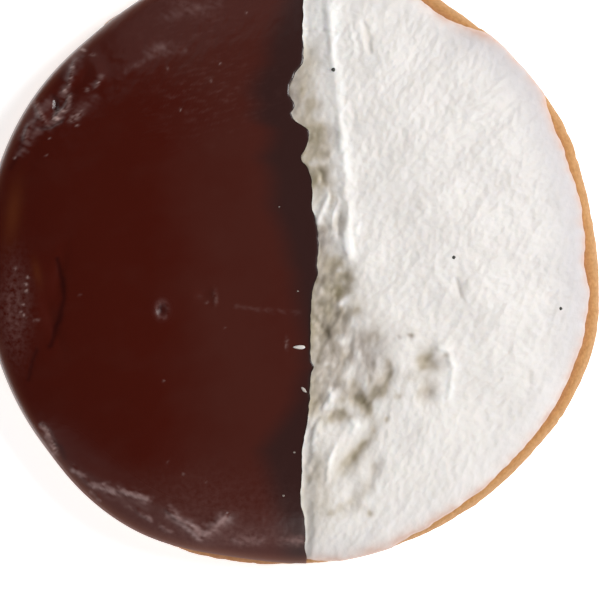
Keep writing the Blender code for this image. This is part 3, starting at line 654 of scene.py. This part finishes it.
def half_moon(across, along, side, rim_inset=0.0, seam_inset=0.0):
    """Maps a rectangle onto a half moon: across runs 0 to 1 from the seam to the rim, along -1 to 1."""
    share = np.maximum(across, np.abs(along))
    safe = np.where(share > 0, share, 1)
    near_rim = math.pi / 4 * along / safe
    near_seam = np.sign(along) * (math.pi / 2 - math.pi / 4 * across / safe)
    turn = np.where(across >= np.abs(along), near_rim, near_seam)
    angle = turn if side == WHITE else math.pi - turn
    reach = share * (icing_reach(angle, side) - rim_inset)
    y = reach * np.sin(angle)
    pull = (seam_x(y) - SEAM_X + side * (SHOWN_GAP / 2 + seam_inset)) * (1 - across) ** 3
    return SEAM_X + reach * np.cos(angle) + pull, y


# ---- The white frosting's surface


def brink_x(y):
    places, offsets = np.array(BRINK).T * MM
    steps = np.linspace(-BRINK_EASE, BRINK_EASE, 5)
    return sum(np.interp(y + step, places, offsets) for step in steps) / len(steps)


def lowness(x, y):
    """1 along the seam, falling to 0 at the brink of the flat top."""
    seam = seam_x(y)
    return 1 - smooth_step((x - seam) / (brink_x(y) - seam))


def roughness_share(x, y):
    """Where the low ground is rough: past the middle of the seam, and less so near its -Y end."""
    stretch = rises(y, *ROUGH_START) * (1 - ROUGH_LOSS * rises(y, *ROUGH_END))
    return (ROUGH_BASE + (1 - ROUGH_BASE) * stretch) * smooth_step(lowness(x, y) * ROUGH_GAIN)


def white_thickness(x, y):
    body = WHITE_THICKNESS - (WHITE_THICKNESS - WHITE_SEAM_THICKNESS) * lowness(x, y)
    crest = CREST_RISE * bell(x - brink_x(y), CREST_WIDTH) * smooth_step(y / CREST_FADE + 0.5)
    return body + crest + marks(x, y, WHITE_MARKS) * MM + waves(x, y, WHITE_WAVES)


def crest_line(x, y, width):
    """The line along the brink, from 0 to 1, stronger and weaker in turn along its length."""
    mean, change, length, seed = CREST_BREAKS
    strength = mean + change * line_noise(y / length, seed)
    return strength * bell(distance_to(x, y, CREST_LINE), width)


def white_relief(x, y):
    """The knife's strokes, the lumps of the low ground and the fine grain."""
    grain = layers(x, y, WHITE_SWIRLS + WHITE_GRAIN) * MM - WHITE_SINK
    lumps = layers(x, y, WHITE_LUMPS) * MM * roughness_share(x, y)
    waver_x, waver_y = wavered(x, y)
    height, width = FINE_CREST
    crest = height * MM * crest_line(waver_x, waver_y, width)
    hollows = HOLLOW_DEPTH * MM * marks(waver_x, waver_y, SHADED_THIN_WHITE)
    return grain + lumps + crest - hollows + strokes(waver_x, waver_y, WHITE_STROKES)


# ---- The chocolate icing's surface


def chocolate_thickness(x, y):
    relief = marks(x, y, CHOCOLATE_MARKS) * MM + waves(x, y, CHOCOLATE_WAVES)
    return CHOCOLATE_THICKNESS + relief


def crater_rim(x, y):
    """1 on the round rim of the bubble, falling off to both sides."""
    across = (x / MM - CRATER[0]) / CRATER_RING[0]
    along = (y / MM - CRATER[1]) / CRATER_RING[1]
    return bell(np.hypot(across, along) - 1, CRATER_RIM)


def fleck_and_glint_strength(x, y):
    """The torn, dried bits and painted glints, with broken outlines, from 0 to 1."""
    return np.clip(marks(*wavered(x, y), FLECKS_AND_GLINTS) * (FLECK_AND_GLINT_MEAN + layers(x, y, FLECK_AND_GLINT_BREAKS)), 0, 1)


def rippled_sheen(x, y):
    """The painted sheen: over the grainy stretches, the short light ripples and the bubble's rim, from 0 to
    1.
    """
    ripples = np.clip(layers(x, y, FINE_RIPPLES), 0, 1) * marks(x, y, RIPPLED)
    return np.clip(marks(x, y, SHEEN) + RIPPLE_SHEEN * ripples + CRATER_SHEEN * crater_rim(x, y), 0, 1)


def painted_gleam_strength(x, y):
    """The painted highlights, smooth light streaks with ragged outlines and gaps, from 0 to 1."""
    ragged = [place + MM * layers(x, y, rags) for place, rags in zip(wavered(x, y), GLEAM_RAGS)]
    return np.clip(line_strength(*ragged, PAINTED_GLEAMS) * (GLEAM_MEAN + layers(x, y, GLEAM_GAPS)), 0, 1)


def chocolate_dullness(x, y):
    """How matt the chocolate is: along the rim at its lower left and around the crater, from 0 to 1."""
    turn = np.degrees(np.arctan2(y, x)) % 360
    start, end = DULL_ENDS
    stretch = rises(turn, *start) * rises(turn, *end)
    return np.clip(rim_share(x, y, CHOCOLATE, DULL_WIDTH) * stretch + marks(x, y, CRATER_DULL), 0, 1)


def line_strength(x, y, table):
    """How strongly the lines of a table show, from 0 to 1."""
    total = np.zeros_like(x)
    for width, strength, *points in table:
        total = total + strength * bell(distance_to(x, y, points), width)
    return np.clip(total, 0, 1)


def chocolate_relief(x, y):
    """Long soft ripples, which grow towards the rim, with the grainy stretch and the torn marks."""
    rim = rises(np.hypot(x, y) / RIM_RADIUS, *RIPPLE_RIM)
    rim = rim * (RIPPLE_BASE + (1 - RIPPLE_BASE) * rises(y, *RIPPLE_TOP))
    ripples = layers(x, y, CHOCOLATE_RIPPLES) * (RIPPLE_BASE + rim + marks(x, y, RIPPLED))
    grains = layers(x, y, CHOCOLATE_GRAIN) * np.clip(marks(x, y, SHEEN), 0, 1)
    soft = (ripples + grains + FLECK_RISE * fleck_and_glint_strength(x, y)) * MM
    return soft + CRATER_RISE * crater_rim(x, y) + strokes(*wavered(x, y), CHOCOLATE_STROKES)


def edge_lift(inward):
    """An icing's round edge: 0 at its widest line, rising to 1 where the flat top begins."""
    return np.sqrt(1 - (1 - np.clip(inward / EDGE_WIDTH, 0, 1)) ** 2)


def icing_top(x, y, side):
    """The icing's shown surface, which rounds down to its edge at the rim and at the seam."""
    limit = 1 - FOOT_TUCK / RIM_RADIUS
    if side == WHITE:
        full = white_thickness(x, y) + white_relief(x, y)
    else:
        full = chocolate_thickness(x, y) + chocolate_relief(x, y)
    from_seam = np.clip(side * (x - seam_x(y)) / SEAM_BLEND, 0, 1)
    full = SEAM_LEVELS[side] + (full - SEAM_LEVELS[side]) * np.sqrt(1 - (1 - from_seam) ** 2)
    lift = edge_lift(icing_radius(np.arctan2(y, x), side) - np.hypot(x, y))
    top = dome_height(x, y, limit) + GAP + BELLY_RISE + (full - BELLY_RISE) * lift
    return CEILING - CEILING_EASE * np.log1p(np.exp((CEILING - top) / CEILING_EASE))


# ---- Building the meshes


def add_mesh(name, points, faces, material, sharp_from=60):
    mesh = bpy.data.meshes.new(name)
    mesh.from_pydata(points.tolist(), [], faces)
    mesh.materials.append(material)
    mesh.validate()
    mesh.shade_smooth()
    mesh.set_sharp_from_angle(angle=math.radians(sharp_from))
    piece = bpy.data.objects.new(name, mesh)
    bpy.context.scene.collection.objects.link(piece)
    return piece


def add_attribute(piece, name, values):
    layer = piece.data.attributes.new(name, "FLOAT", "POINT")
    layer.data.foreach_set("value", np.asarray(values, np.float32))


def perimeter(columns, rows):
    """The grid's border, counter-clockwise seen from above on the white side, as (column, row)."""
    border = [(i, 0) for i in range(columns)]
    border += [(columns, j) for j in range(rows)]
    border += [(i, rows) for i in range(columns, 0, -1)]
    border += [(0, j) for j in range(rows, 0, -1)]
    return border


def edge_rings(edge_across, edge_along, side, top_z):
    """The rings round an icing's edge, from the shoulder over the belly to the lip, and its underside."""
    lip_x, lip_y = half_moon(edge_across, edge_along, side, LIP_TUCK)
    foot_x, foot_y = half_moon(edge_across, edge_along, side, FOOT_TUCK)
    lip_z = dome_height(lip_x, lip_y) + GAP
    belly_z = lip_z + BELLY_RISE
    rings = []
    for turn in SHOULDER_TURNS:
        share = 1 - math.sin(math.radians(turn))
        x, y = half_moon(edge_across, edge_along, side, SHOULDER_TUCK * share, SEAM_SHOULDER * share)
        fall = edge_lift(SHOULDER_TUCK * share) / edge_lift(SHOULDER_TUCK)
        rings.append((x, y, belly_z + (top_z - belly_z) * fall))
    for turn in BELLY_TURNS:
        share = 1 - math.cos(math.radians(turn))
        x, y = half_moon(edge_across, edge_along, side, LIP_TUCK * share)
        rings.append((x, y, belly_z - BELLY_RISE * math.sin(math.radians(turn))))
    rings.append((foot_x, foot_y, dome_height(foot_x, foot_y) + GAP))
    middle_x, middle_y = foot_x.mean(), foot_y.mean()
    for share in UNDERSIDE_RINGS:
        x = middle_x + share * (foot_x - middle_x)
        y = middle_y + share * (foot_y - middle_y)
        rings.append((x, y, dome_height(x, y) + GAP))
    return rings, (middle_x, middle_y, float(dome_height(middle_x, middle_y)) + GAP)


def build_icing(name, side, material):
    i, j = np.meshgrid(np.arange(ICING_COLUMNS + 1), np.arange(ICING_ROWS + 1), indexing="ij")
    across = i / ICING_COLUMNS
    along = 2 * j / ICING_ROWS - 1
    x, y = half_moon(across, along, side, SHOULDER_TUCK, SEAM_SHOULDER)
    z = icing_top(x, y, side)
    points = [np.stack([x.ravel(), y.ravel(), z.ravel()], axis=1)]

    corner = (i * (ICING_ROWS + 1) + j)[:-1, :-1].ravel()
    faces = np.stack([corner, corner + ICING_ROWS + 1, corner + ICING_ROWS + 2, corner + 1], axis=1)
    faces = faces.tolist()

    border = perimeter(ICING_COLUMNS, ICING_ROWS)
    edge_across = np.array([across[c, r] for c, r in border])
    edge_along = np.array([along[c, r] for c, r in border])
    edge_z = np.array([z[c, r] for c, r in border])
    rings, tip = edge_rings(edge_across, edge_along, side, edge_z)
    above = [c * (ICING_ROWS + 1) + r for c, r in border]
    count = len(border)
    total = x.size
    for ring in rings:
        below = list(range(total, total + count))
        points.append(np.stack(ring, axis=1))
        for k in range(count):
            following = (k + 1) % count
            faces.append((above[k], below[k], below[following], above[following]))
        above = below
        total += count
    points.append(np.array([tip]))
    faces += [(above[k], total, above[(k + 1) % count]) for k in range(count)]
    if side == CHOCOLATE:
        faces = [face[::-1] for face in faces]
    return add_mesh(name, np.concatenate(points), faces, material)


def crust_profile(angle):
    """The crust's rings before their relief, as (x, y, z, share of the relief, brownness)."""
    radius = cookie_radius(angle)
    tinted = CRUST_CHOCOLATE_SIDE_BROWN * chocolate_share(angle)
    rings = []

    def add_ring(reach, level, show, brown):
        x = reach * np.cos(angle)
        y = reach * np.sin(angle)
        z = dome_height(x, y) if level is None else np.full_like(angle, level)
        rings.append((x, y, z, show, brown))

    shares = list(np.linspace(CRUST_DOME_ENDS[0], CRUST_SHOULDER_START, CRUST_DOME, endpoint=False))
    shares += list(np.linspace(CRUST_SHOULDER_START, CRUST_DOME_ENDS[1], CRUST_SHOULDER))
    for share in shares:
        show = rises(share, CRUST_SHOULDER_START, CRUST_RELIEF_REACH)
        brown = CRUST_WAIST_BROWN + CRUST_INNER_BROWN_AND_SHADE * rises(share, 1, -CRUST_BROWN_REACH)
        add_ring(share * radius, None, show, brown + tinted)
    side_waves = sum(height * MM * np.sin(count * angle + count) for count, height in SIDE_WAVES)
    for step in range(CRUST_SIDE):
        low = math.pi / 2 * step / (CRUST_SIDE - 1)
        reach = radius - FOOT_INSET * (1 - math.cos(low)) + math.sin(2 * low) * side_waves
        brown = CRUST_WAIST_BROWN + CRUST_LOW_BROWN * math.sin(low) ** 2 + tinted * math.cos(low)
        add_ring(reach, WAIST_HEIGHT * (1 - math.sin(low)), 1, brown)
    for step in range(1, CRUST_FOOT):
        reach = (1 - step / CRUST_FOOT) * (radius - FOOT_INSET)
        add_ring(reach, 0, UNDERSIDE_RELIEF, UNDERSIDE_BROWN)
    return rings


def crust_relief(angle, run):
    """Pits and crumbs round the side, as depths inwards. The run is the way down the profile."""
    total = np.zeros_like(angle)
    for cells, depth, seed in CRUST_LUMPS:
        size = math.tau * RIM_RADIUS / cells
        lumps = noise(angle / math.tau * cells, run / size, seed, cells)
        total = total + depth * (0.5 - 0.5 * lumps)
    cells, depth, seed, threshold = CRUST_PITS
    pits = noise(angle / math.tau * cells, run / (math.tau * RIM_RADIUS / cells), seed, cells)
    raised = CRUST_RAISED * sum(depth for _, depth, _ in CRUST_LUMPS) / 2
    return (total - raised + depth * np.clip(pits - threshold, 0, 1)) * MM


def build_crust(material):
    angle = np.linspace(0, math.tau, CRUST_SEGMENTS, endpoint=False)
    rings = crust_profile(angle)
    grid = np.array([np.stack(ring[:3], axis=1) for ring in rings])
    share, brown = (np.array([np.broadcast_to(r[i], angle.shape) for r in rings]) for i in (3, 4))
    steps = np.linalg.norm(np.diff(grid, axis=0), axis=2).mean(axis=1)
    run = np.concatenate([[0], np.cumsum(steps)])[:, None] + 0 * angle

    around = np.roll(grid, -1, axis=1) - np.roll(grid, 1, axis=1)
    down = np.gradient(grid, axis=0)
    outward = np.cross(around, -down)
    outward = outward / np.linalg.norm(outward, axis=2, keepdims=True)
    relief = crust_relief(angle + 0 * run, run)
    grid = grid - outward * (relief * share)[:, :, None]
    grid[:, :, 2] = np.maximum(grid[:, :, 2], 0)

    count = CRUST_SEGMENTS
    k = np.arange(count)
    after = (k + 1) % count
    faces = []
    for ring in range(len(rings) - 1):
        upper = ring * count
        lower = upper + count
        faces += np.stack([upper + k, lower + k, lower + after, upper + after], axis=1).tolist()
    crown = len(rings) * count
    nadir = crown + 1
    last = crown - count
    faces += [(crown, a, b) for a, b in zip(k.tolist(), after.tolist())]
    faces += [(last + b, last + a, nadir) for a, b in zip(k.tolist(), after.tolist())]
    tips = np.array([(0, 0, WAIST_HEIGHT + DOME_RISE), (0, 0, 0)])
    piece = add_mesh("cookie_crust", np.concatenate([grid.reshape(-1, 3), tips]), faces, material)
    add_attribute(piece, "brown", np.append(brown.ravel(), (CROWN_BROWN, UNDERSIDE_BROWN)))
    return piece


def build_lumps(name, lumps, side, material):
    """Rough rounded lumps half sunk in an icing, as one mesh: x, y, half length, width, height, turn."""
    ball = bmesh.new()
    bmesh.ops.create_icosphere(ball, subdivisions=LUMP_SUBDIVISIONS, radius=1)
    unit = np.array([corner.co for corner in ball.verts])
    triangles = np.array([[corner.index for corner in face.verts] for face in ball.faces])
    ball.free()
    points = []
    faces = []
    for index, (x, y, length, width, height, turn) in enumerate(lumps):
        # Waves that don't fit each other, and shift from lump to lump, make each one uneven.
        swell = 1 + LUMP_ROUGHNESS * np.sin(5.1 * unit[:, 0] + 3 * unit[:, 2] + index)
        swell = swell * (1 + LUMP_ROUGHNESS * np.sin(4.3 * unit[:, 1] - 2 * unit[:, 0] + 2 * index))
        shape = unit * swell[:, None] * (length, width, height)
        cos = math.cos(math.radians(turn))
        sin = math.sin(math.radians(turn))
        level = float(icing_top(np.array([x * MM]), np.array([y * MM]), side)[0])
        faces += (triangles + len(points) * len(unit)).tolist()
        turned = shape @ np.array([(cos, sin, 0), (-sin, cos, 0), (0, 0, 1)])
        points.append(turned * MM + (x * MM, y * MM, level))
    return add_mesh(name, np.concatenate(points), faces, material)


# ---- Where the colours go


def white_thinness_and_shade(x, y):
    """How far the frosting is thin or hollowed, with painted shade in the hollows and along the seam, from 0
    to 1.
    """
    strength, reach = along_y(y, SHADED_THIN_STRIP)
    from_seam = np.clip(x - seam_x(y), 0, None)
    share, width = SHADED_THIN_EDGE
    strip = strength * (bell(from_seam, reach * MM, 4) + share * bell(from_seam, width))
    return np.clip((strip + marks(x, y, SHADED_THIN_WHITE)) * (1 + layers(x, y, MOTTLING)), 0, 1)


def white_mauve(x, y):
    """How greyish rather than olive a thin, shaded place is, from 0 to 1."""
    return np.clip(marks(x, y, MAUVE) + layers(x, y, MAUVE_DRIFT) + MAUVE_BASE, 0, 1)


def white_painted_highlights(x, y):
    """Painted highlights: where the frosting is painted whiter, from 0 to 1."""
    return np.clip(marks(x, y, PAINTED_HIGHLIGHTS), 0, 1)


def rim_share(x, y, side, width):
    """1 at an icing's edge by the rim, falling off inwards over the width."""
    inward = icing_radius(np.arctan2(y, x), side) - np.hypot(x, y)
    return bell(np.clip(inward, 0, None), width)


def white_fringe(x, y):
    """Where the crust tints the frosting's thin edge, in uneven patches, from 0 to 1."""
    patches = FRINGE_MEAN + layers(x, y, FRINGE_BREAKS)
    tinted = swells(np.arctan2(y, x), STAINED_RIM) / MM * (STAIN_EVENNESS + (1 - STAIN_EVENNESS) * patches)
    total = tinted * rim_share(x, y, WHITE, STAIN_WIDTH)
    for share, (strength, width) in ((1, FRINGE_EDGE), (patches, FRINGE_PATCHES)):
        total = total + strength * share * rim_share(x, y, WHITE, width)
    return np.clip(total, 0, FRINGE_LIMIT)


def white_painted_shade(x, y):
    """Painted shade: how much greyer the frosting is towards the rim, mostly on +X, and drifting greyer one
    way, from 0 to 1.
    """
    turn = np.degrees(np.arctan2(y, x))
    near_rim = SHADE_BORDER_BASE + sum(gain * rises(turn, start, over) for start, over, gain in SHADE_BORDER_TURNS)
    drift = smooth_step((x * math.cos(SHADE_WAY) + y * math.sin(SHADE_WAY)) / RIM_RADIUS)
    border = SHADE_BORDER_STRENGTH * near_rim * rim_share(x, y, WHITE, SHADE_BORDER_WIDTH)
    return np.clip(border + SHADE_DRIFT * drift, 0, 1)


def chocolate_seam_shadow(x, y):
    """The frosting's painted shadow, a dark band beside the seam, from 0 to 1."""
    (reach,) = along_y(y, SEAM_SHADOW_BAND)
    return 1 - smooth_step((seam_x(y) - x - reach * MM) / SEAM_SHADOW_FADE + 0.5)


def chocolate_contact_shadow(x, y):
    """The painted contact shadow, a dark line where the chocolate meets the frosting, from 0 to 1."""
    (strength,) = along_y(y, CONTACT_SHADOW)
    return strength * bell(np.clip(seam_x(y) - x, 0, None), CONTACT_SHADOW_WIDTH)


def chocolate_painted_reflection(x, y):
    """Painted reflection: how grey the chocolate is, over the half by the seam and near its two ends."""
    ends = sum(rises(y, *end) for end in REFLECTION_ENDS)
    return np.clip(rises(x, *REFLECTION_SEAM) + ends + layers(x, y, REFLECTION_BLOTCHES), 0, REFLECTION_LIMIT)


def colour_icings(chocolate, white):
    x, y = np.array([corner.co[:2] for corner in white.data.vertices]).T
    # thinness, with painted shade in the hollows and along the seam
    add_attribute(white, "thin_and_shade", white_thinness_and_shade(*wavered(x, y)))
    add_attribute(white, "mauve", white_mauve(x, y))
    # painted highlights on the frosting
    add_attribute(white, "painted_highlight", white_painted_highlights(*wavered(x, y)))
    add_attribute(white, "rim", white_fringe(x, y))
    # painted shade towards the rim, in the attribute named border
    add_attribute(white, "border", white_painted_shade(x, y))
    x, y = np.array([corner.co[:2] for corner in chocolate.data.vertices]).T
    # painted shadow of the frosting beside the seam
    add_attribute(chocolate, "seam_shadow", chocolate_seam_shadow(x, y))
    # painted contact shadow against the frosting
    add_attribute(chocolate, "contact_shadow", chocolate_contact_shadow(x, y))
    # painted grey reflection on the chocolate
    add_attribute(chocolate, "painted_reflection", chocolate_painted_reflection(x, y))
    # dried flecks and painted glints
    add_attribute(chocolate, "fleck_and_glint", fleck_and_glint_strength(x, y))
    # painted shade in the creases and the pit
    add_attribute(chocolate, "crease_shade", line_strength(*wavered(x, y), SHADED_CREASES))
    # painted highlights on the chocolate
    add_attribute(chocolate, "painted_gleam", painted_gleam_strength(x, y))
    add_attribute(chocolate, "warm", np.clip(marks(x, y, WARM), 0, 1))
    add_attribute(chocolate, "sheen", rippled_sheen(x, y))
    add_attribute(chocolate, "dull", chocolate_dullness(x, y))
    add_attribute(chocolate, "rim", rim_share(x, y, CHOCOLATE, CHOCOLATE_RIM))


# ---- Materials


def feed(tree, socket, value):
    """Gives a socket a value, or a link where the value is another node's socket."""
    if isinstance(value, bpy.types.NodeSocket):
        tree.links.new(value, socket)
    elif isinstance(value, tuple) and len(value) == 3 and socket.type == "RGBA":
        socket.default_value = (*value, 1)
    else:
        socket.default_value = value


def add_node(tree, kind, output, inputs=None, **settings):
    """Adds a node with its settings and inputs, and gives back one of its outputs."""
    node = tree.nodes.new("ShaderNode" + kind)
    for name, value in settings.items():
        setattr(node, name, value)
    for name, value in (inputs or {}).items():
        feed(tree, node.inputs[name], value)
    return node.outputs[output]


class Finish:
    """A material with one Principled shader, and short ways to add to its nodes."""

    def __init__(self, name, roughness, specular):
        self.material = bpy.data.materials.new(name)
        self.material.use_nodes = True
        self.tree = self.material.node_tree
        self.set("Roughness", roughness)
        self.set("Specular IOR Level", specular)

    def set(self, name, value):
        feed(self.tree, self.tree.nodes["Principled BSDF"].inputs[name], value)

    def attribute(self, name):
        return add_node(self.tree, "Attribute", "Fac", attribute_name=name)

    def noise(self, size, detail):
        """Noise from 0 to 1, with lumps of the size in millimetres."""
        place = add_node(self.tree, "TexCoord", "Object")
        inputs = {"Vector": place, "Scale": (size * MM,) * 3}
        scaled = add_node(self.tree, "Mapping", "Vector", inputs, vector_type="TEXTURE")
        return add_node(self.tree, "TexNoise", "Fac", {"Vector": scaled, "Scale": 1, "Detail": detail})

    def math(self, operation, a, b):
        return add_node(self.tree, "Math", 0, {0: a, 1: b}, operation=operation, use_clamp=True)

    def spread(self, value, low, high):
        """The value's stretch from low to high, drawn out to 0 to 1."""
        return add_node(self.tree, "MapRange", "Result", {"Value": value, "From Min": low, "From Max": high})

    def ramp(self, value, *stops):
        colour = add_node(self.tree, "ValToRGB", "Color", {"Fac": value})
        elements = colour.node.color_ramp.elements
        while len(elements) < len(stops):
            elements.new(0.5)
        for element, (place, stop) in zip(elements, stops):
            element.position = place
            element.color = (*stop, 1)
        return colour

    def mix(self, share, first, second, blend="MIX"):
        inputs = {"Factor": share, 6: first, 7: second}
        return add_node(self.tree, "Mix", 2, inputs, data_type="RGBA", blend_type=blend)

    def tint(self, body, tints):
        """The body's colour with each (attribute, colour) mixed over it in turn."""
        for name, colour in tints:
            body = self.mix(self.attribute(name), body, colour)
        return body

    def bump(self, height, depth):
        """Relief finer than the mesh, as deep in millimetres as the height's whole stretch."""
        self.set("Normal", add_node(self.tree, "Bump", "Normal", {"Height": height, "Distance": depth * MM}))


def white_finish():
    finish = Finish("white_frosting", roughness=0.5, specular=0.3)
    # thinness of the frosting, with painted shade
    thin_and_shade = finish.attribute("thin_and_shade")
    olive = finish.ramp(thin_and_shade, (0, WHITE_COLOUR), *OLIVE_STOPS)
    mauve = finish.ramp(thin_and_shade, (0, WHITE_COLOUR), *MAUVE_STOPS)
    body = finish.mix(finish.attribute("mauve"), olive, mauve)
    finish.set("Base Color", finish.tint(body, WHITE_TINTS))
    finish.set("Subsurface Weight", 0.2)
    finish.set("Subsurface Radius", (1.0, 0.8, 0.6))
    finish.set("Subsurface Scale", 0.5 * MM)
    finish.bump(finish.noise(size=0.6, detail=3), depth=0.06)
    return finish.material


def chocolate_finish():
    finish = Finish("chocolate", CHOCOLATE_ROUGHNESS, specular=0.3)
    body = finish.tint(CHOCOLATE_COLOUR, CHOCOLATE_TINTS)
    thin_edge = finish.math("MULTIPLY", finish.attribute("rim"), THIN_CHOCOLATE_SHARE)
    body = finish.mix(thin_edge, body, THIN_CHOCOLATE)
    # painted sheen, broken up by noise
    sheen_breaks = finish.spread(finish.noise(size=0.8, detail=3), low=0.3, high=0.7)
    body = finish.mix(finish.math("MULTIPLY", sheen_breaks, finish.attribute("sheen")), body, PAINTED_SHEEN_COLOUR)
    # painted highlights, and dried flecks with painted glints
    finish.set("Base Color", finish.tint(body, GLEAM_AND_FLECK_TINTS))
    torn = finish.math("MULTIPLY", finish.attribute("fleck_and_glint"), FLECK_MATT)
    matt = finish.math("MULTIPLY", finish.math("ADD", finish.attribute("dull"), torn), MATT_ROUGHNESS)
    finish.set("Roughness", finish.math("ADD", matt, CHOCOLATE_ROUGHNESS))
    finish.bump(finish.noise(size=1.2, detail=2), depth=0.02)
    return finish.material


def crust_finish():
    finish = Finish("baked_cookie", roughness=0.75, specular=0.25)
    blotches = finish.spread(finish.noise(size=5, detail=3), low=0.5, high=2.2)
    body = finish.ramp(finish.math("ADD", finish.attribute("brown"), blotches), *CRUST_STOPS)
    crumbs = finish.spread(finish.noise(size=0.7, detail=3), low=0.3, high=0.7)
    crumbs = finish.ramp(crumbs, (0, CRUMB_SHADE), (1, (1, 1, 1)))
    finish.set("Base Color", finish.mix(1.0, body, crumbs, "MULTIPLY"))
    finish.bump(finish.noise(size=0.5, detail=4), depth=0.12)
    return finish.material


def speck_finish():
    finish = Finish("dark_speck", roughness=0.5, specular=0.3)
    finish.set("Base Color", SPECK_COLOUR)
    return finish.material


# ---- Light, floor and camera


def add_light(name, direction, elevation, watts, side):
    """A soft square light, aimed at the cookie from a direction counter-clockwise from +X."""
    turn = math.radians(direction)
    rise = math.radians(elevation)
    way = Vector((math.cos(rise) * math.cos(turn), math.cos(rise) * math.sin(turn), math.sin(rise)))
    lamp = bpy.data.lights.new(name, "AREA")
    lamp.energy = watts
    lamp.size = side
    light = bpy.data.objects.new(name, lamp)
    light.location = way * LIGHT_DISTANCE
    light.rotation_euler = way.to_track_quat("Z", "Y").to_euler()
    bpy.context.scene.collection.objects.link(light)


def add_floor():
    finish = Finish("floor", roughness=0.8, specular=0.0)
    finish.set("Base Color", (FLOOR_TONE,) * 3)
    finish.set("Emission Color", (1, 1, 1))
    finish.set("Emission Strength", FLOOR_GLOW)
    corners = np.array([(-1, -1, 0), (1, -1, 0), (1, 1, 0), (-1, 1, 0)]) * FLOOR_REACH
    floor = add_mesh("floor", corners, [(0, 1, 2, 3)], finish.material)


def add_camera():
    lens = bpy.data.cameras.new("camera")
    lens.sensor_width = SENSOR_WIDTH
    lens.lens = SENSOR_WIDTH * (CAMERA_HEIGHT - FRAMED_HEIGHT) / FRAMED_WIDTH
    lens.clip_end = 10
    camera = bpy.data.objects.new("camera", lens)
    camera.location = (*CAMERA_OVER, CAMERA_HEIGHT)
    bpy.context.scene.collection.objects.link(camera)
    bpy.context.scene.camera = camera


def light_the_scene():
    world = bpy.data.worlds.new("studio")
    world.use_nodes = True
    tree = world.node_tree
    height = add_node(tree, "SeparateXYZ", "Z", {0: add_node(tree, "TexCoord", "Generated")})
    ends = zip(("From Min", "From Max", "To Min", "To Max"), (*HORIZON_BAND, HORIZON_GLOW, SKY_GLOW))
    inputs = {"Value": height, **dict(ends)}
    glow = add_node(tree, "MapRange", "Result", inputs, interpolation_type="SMOOTHSTEP")
    feed(tree, tree.nodes["Background"].inputs["Color"], (1, 1, 1))
    feed(tree, tree.nodes["Background"].inputs["Strength"], glow)
    bpy.context.scene.world = world
    for light in LIGHTS:
        add_light(*light)
    bpy.context.scene.view_settings.view_transform = "Standard"


def main():
    crust = build_crust(crust_finish())
    chocolate_material = chocolate_finish()
    white_material = white_finish()
    chocolate = build_icing("chocolate_coat", CHOCOLATE, chocolate_material)
    white = build_icing("white_coat", WHITE, white_material)
    colour_icings(chocolate, white)
    crumbs = [(x, y, length, width, CRUMB_RISE * width, turn) for x, y, length, width, turn, _ in CRUMBS]
    crumbs = build_lumps("frosting_crumbs", crumbs, CHOCOLATE, white_material)
    each = len(crumbs.data.vertices) // len(CRUMBS)
    add_attribute(crumbs, "thin_and_shade", np.repeat([row[-1] for row in CRUMBS], each))
    add_attribute(crumbs, "mauve", np.ones(each * len(CRUMBS)))
    specks = [(x, y, size, size, SPECK_RISE * size, 0) for x, y, size in SPECKS]
    specks = build_lumps("dark_specks", specks, WHITE, speck_finish())

    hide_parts("cookie")
    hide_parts("chocolate_icing")
    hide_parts("white_frosting")
    for piece, slot in (
        (crust, "baked_cookie"),
        (chocolate, "chocolate"),
        (white, "white_frosting"),
        (crumbs, "white_frosting"),
        (specks, "chocolate"),
    ):
        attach(piece, "root")

    add_floor()
    light_the_scene()
    add_camera()


main()
